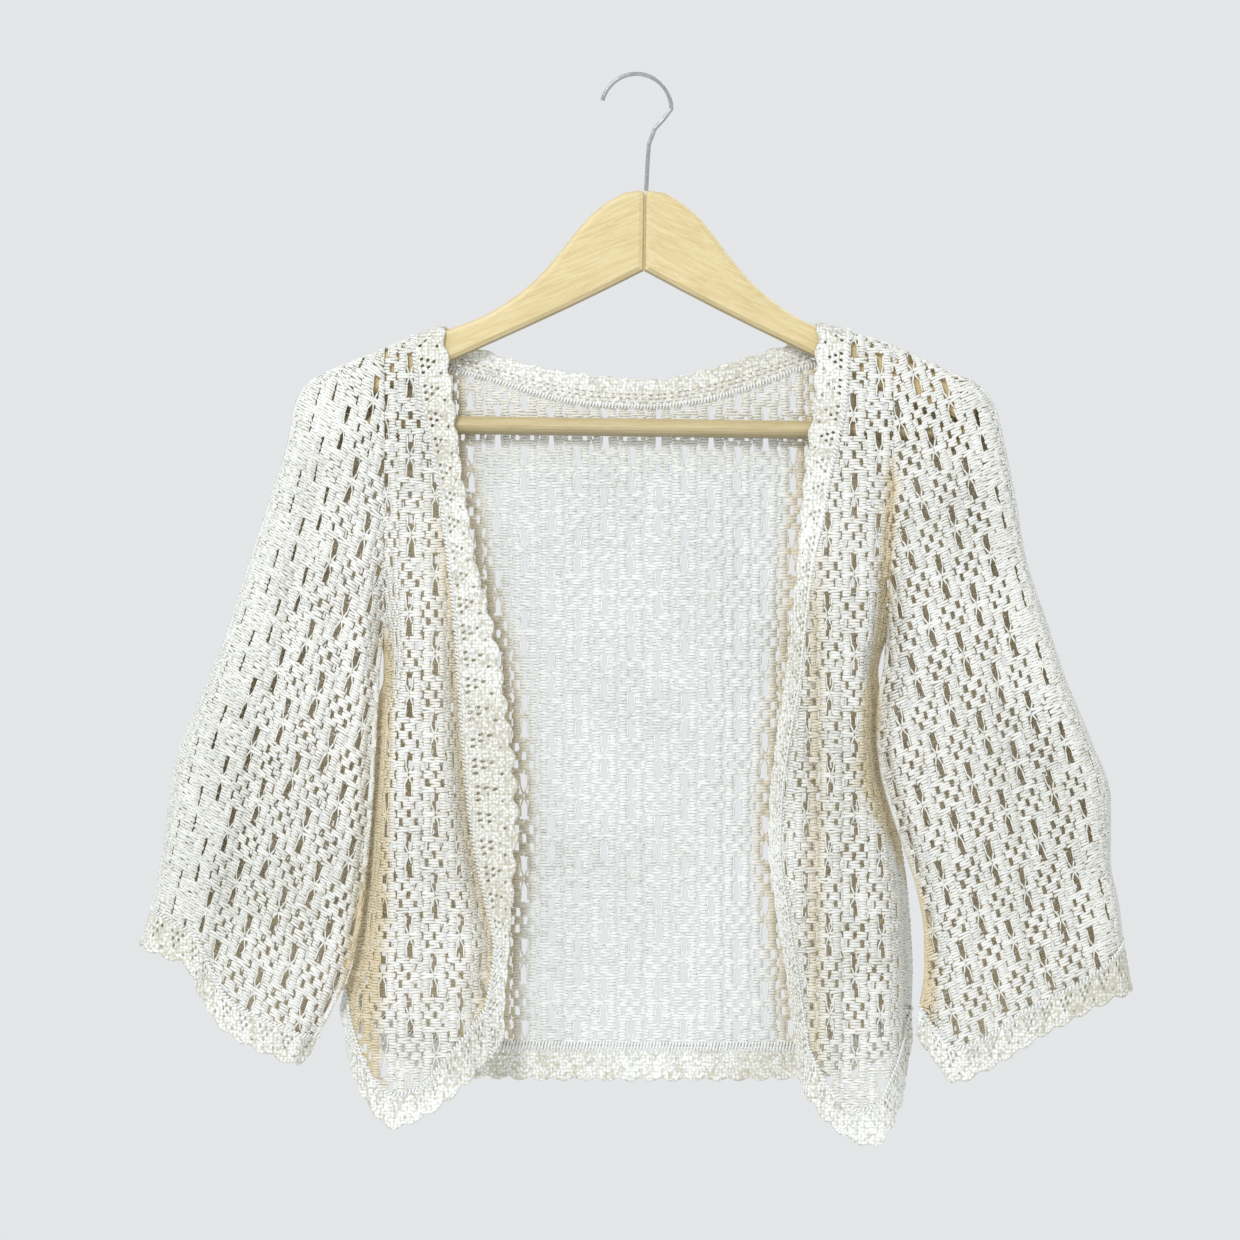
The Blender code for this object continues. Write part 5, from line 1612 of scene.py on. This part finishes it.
def grain_group():
    """Wood grain from a place: long streaks with fine pores."""
    tree, given, result = new_tree(
        "Wood grain", "ShaderNodeTree",
        [("Place", "Vector"), ("Pale", "Color"), ("Deep", "Color"), ("Grain width", "Float"),
         ("Stretch", "Float")],
        [("Colour", "Color"), ("Relief", "Float")],
    )
    scale = maths(tree, "DIVIDE", 1.0, given["Grain width"])
    squeezed = add_node(
        tree, "ShaderNodeCombineXYZ", {"X": maths(tree, "DIVIDE", 1.0, given["Stretch"]), "Y": 1.0, "Z": 1.0}
    ).outputs[0]
    place = vector_maths(tree, "MULTIPLY", given["Place"], squeezed)
    bands = add_node(
        tree, "ShaderNodeTexNoise",
        {"Vector": place, "Scale": scale, "Detail": 4.0, "Roughness": 0.65, "Distortion": 0.4},
    ).outputs[0]
    fine = maths(tree, "MULTIPLY", scale, 5.0)
    pores = add_node(
        tree, "ShaderNodeTexNoise", {"Vector": place, "Scale": fine, "Detail": 2.0}
    ).outputs[0]
    mixed = maths(tree, "ADD", maths(tree, "MULTIPLY", bands, 0.75), maths(tree, "MULTIPLY", pores, 0.25))
    share = add_node(
        tree, "ShaderNodeMapRange", {"Value": mixed, "From Min": 0.35, "From Max": 0.62}
    ).outputs[0]
    colour = add_node(
        tree, "ShaderNodeMix", {0: share, 6: given["Deep"], 7: given["Pale"]}, data_type="RGBA"
    ).outputs[2]
    tree.links.new(colour, result["Colour"])
    tree.links.new(mixed, result["Relief"])
    return tree


def wood_material(name, pale, deep, turn, stretch, coat):
    """Lacquered wood whose grain is turned along the piece, with a painted shade on its undersides."""
    material, tree, shader = shader_in(name, 0.42, Coat_Weight=coat, Coat_Roughness=0.22)
    place = tree.nodes.new("ShaderNodeTexCoord").outputs["Object"]
    turned = add_node(tree, "ShaderNodeMapping", {"Vector": place, "Rotation": (0.0, turn, 0.0)}).outputs[0]
    group = tree.nodes.new("ShaderNodeGroup")
    group.node_tree = tree_named("Wood grain", grain_group)
    group.inputs["Pale"].default_value = pale
    group.inputs["Deep"].default_value = deep
    group.inputs["Grain width"].default_value = 0.0018
    group.inputs["Stretch"].default_value = stretch
    tree.links.new(turned, group.inputs["Place"])
    bump = add_node(
        tree, "ShaderNodeBump", {"Strength": 0.12, "Distance": 0.0004, "Height": group.outputs["Relief"]}
    ).outputs[0]
    # Painted shade: the colour darkens as the surface faces down, to half at the underside
    facing = tree.nodes.new("ShaderNodeNewGeometry").outputs["Normal"]
    upward = add_node(tree, "ShaderNodeSeparateXYZ", {"Vector": facing}).outputs["Z"]
    under = add_node(
        tree, "ShaderNodeMapRange", {"Value": upward, "From Min": -0.9, "From Max": 0.0, "To Min": 0.5}
    ).outputs[0]
    colour = add_node(
        tree, "ShaderNodeMix", {0: 1.0, 6: group.outputs["Colour"], 7: under},
        data_type="RGBA", blend_type="MULTIPLY",
    ).outputs[2]
    tree.links.new(colour, shader.inputs["Base Color"])
    tree.links.new(bump, shader.inputs["Normal"])
    return material


def steel_material():
    material, tree, shader = shader_in("bright_wire", 0.22, Metallic=1.0)
    place = tree.nodes.new("ShaderNodeTexCoord").outputs["Object"]
    drawn = add_node(tree, "ShaderNodeTexNoise", {"Vector": place, "Scale": 400.0, "Detail": 2.0}).outputs[0]
    colour = add_node(
        tree, "ShaderNodeMix", {0: drawn, 6: srgb(150, 150, 152), 7: srgb(205, 205, 205)}, data_type="RGBA"
    ).outputs[2]
    rough = add_node(
        tree, "ShaderNodeMapRange", {"Value": drawn, "To Min": 0.15, "To Max": 0.35}
    ).outputs[0]
    tree.links.new(colour, shader.inputs["Base Color"])
    tree.links.new(rough, shader.inputs["Roughness"])
    return material


class CARDIGAN_OT_hanger(bpy.types.Operator):
    """Gives the hanger's wood and wire their finishes"""

    bl_idname = "cardigan.hanger"
    bl_label = "Hanger"

    def execute(self, context):
        settings = context.scene.cardigan_hanger
        pale, deep = tuple(settings.pale), tuple(settings.deep)
        bar_pale, bar_deep = (tuple(0.78 * c for c in colour[:3]) + (1.0,) for colour in (pale, deep))
        finishes = {
            "hanger_arm_left": wood_material("left_arm_wood", pale, deep, math.radians(22), 14.0, 0.15),
            "hanger_arm_right": wood_material("right_arm_wood", pale, deep, math.radians(-24), 10.0, 0.15),
            "hanger_bar": wood_material("bar_wood", bar_pale, bar_deep, 0.0, 14.0, 0.45),
            "hanger_hook": steel_material(),
        }
        for node, material in finishes.items():
            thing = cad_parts[node]
            thing.data.materials.clear()
            thing.data.materials.append(material)
        return {"FINISHED"}


def soft_light(name, place, target, size, watts, colour):
    lamp = bpy.data.lights.new(name, "AREA")
    lamp.shape = "DISK"
    lamp.size = size
    lamp.energy = watts
    lamp.color = colour
    thing = bpy.data.objects.new(name, lamp)
    thing.location = place
    thing.rotation_euler = (Vector(target) - Vector(place)).to_track_quat("-Z", "Y").to_euler()
    bpy.context.scene.collection.objects.link(thing)


class CARDIGAN_OT_stage(bpy.types.Operator):
    """Sets the floor, the soft light and the camera"""

    bl_idname = "cardigan.stage"
    bl_label = "Stage"

    def execute(self, context):
        stage = context.scene.cardigan_stage
        sides = 96
        turns = [2 * math.pi * k / sides for k in range(sides)]
        rim = [(FLOOR_REACH * math.cos(t), FLOOR_REACH * math.sin(t), -stage.floor_drop) for t in turns]
        floor = mesh_piece("studio_floor", rim, [list(range(sides))])
        material, tree, shader = shader_in("pale_floor", 0.8)
        place = tree.nodes.new("ShaderNodeTexCoord").outputs["Object"]
        grain = add_node(tree, "ShaderNodeTexNoise", {"Vector": place, "Scale": 60.0}).outputs[0]
        tone = add_node(
            tree, "ShaderNodeMix", {0: grain, 6: srgb(236, 236, 234), 7: srgb(244, 244, 243)},
            data_type="RGBA",
        ).outputs[2]
        tree.links.new(tone, shader.inputs["Base Color"])
        floor.data.materials.append(material)
        world = bpy.data.worlds.new("soft_studio")
        world.use_nodes = True
        background = world.node_tree.nodes["Background"]
        background.inputs["Color"].default_value = (0.98, 1.0, 1.02, 1.0)
        background.inputs["Strength"].default_value = 0.79
        context.scene.world = world
        context.scene.view_settings.view_transform = "Standard"
        middle = (-0.01, 0.0, -0.4)
        daylight = (0.97, 1.0, 1.04)
        soft_light("key_softbox", (-0.9, -2.3, 1.1), middle, 0.9, 38.0, daylight)
        soft_light("back_softbox", (1.0, 2.4, 0.9), middle, 1.2, 9.0, daylight)
        lens = bpy.data.cameras.new("front_camera")
        lens.lens = lens.sensor_width * stage.distance / stage.frame_side
        lens.clip_end = 50.0
        camera = bpy.data.objects.new("front_camera", lens)
        camera.location = (-0.01075, -stage.distance, -0.3558)
        camera.rotation_euler = (math.radians(90), 0.0, 0.0)
        context.scene.collection.objects.link(camera)
        context.scene.camera = camera
        return {"FINISHED"}


OPERATORS = (
    CARDIGAN_OT_back, CARDIGAN_OT_fronts, CARDIGAN_OT_sleeves, CARDIGAN_OT_bands, CARDIGAN_OT_hanger,
    CARDIGAN_OT_stage,
)


class CARDIGAN_PT_panel(bpy.types.Panel):
    """Lists the cardigan's pieces and their sizes"""

    bl_idname = "CARDIGAN_PT_panel"
    bl_label = "Openwork cardigan"
    bl_space_type = "VIEW_3D"
    bl_region_type = "UI"
    bl_category = "Cardigan"

    def draw(self, context):
        for settings in SETTINGS:
            for label in SETTINGS[settings].__annotations__:
                self.layout.prop(getattr(context.scene, settings), label)
        for operator in OPERATORS:
            self.layout.operator(operator.bl_idname)


SETTINGS = {
    "cardigan_yarn": YarnSettings,
    "cardigan_band": BandSettings,
    "cardigan_hanger": HangerSettings,
    "cardigan_stage": StageSettings,
}


def register():
    for name, group in SETTINGS.items():
        bpy.utils.register_class(group)
        setattr(bpy.types.Scene, name, bpy.props.PointerProperty(type=group))
    for operator in OPERATORS:
        bpy.utils.register_class(operator)
    bpy.utils.register_class(CARDIGAN_PT_panel)


def unregister():
    bpy.utils.unregister_class(CARDIGAN_PT_panel)
    for operator in reversed(OPERATORS):
        bpy.utils.unregister_class(operator)
    for name, group in reversed(SETTINGS.items()):
        delattr(bpy.types.Scene, name)
        bpy.utils.unregister_class(group)


def main():
    register()
    bpy.ops.cardigan.back()
    bpy.ops.cardigan.fronts()
    bpy.ops.cardigan.sleeves()
    bpy.ops.cardigan.bands()
    bpy.ops.cardigan.hanger()
    bpy.ops.cardigan.stage()
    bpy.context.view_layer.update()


if __name__ == "__main__":
    main()
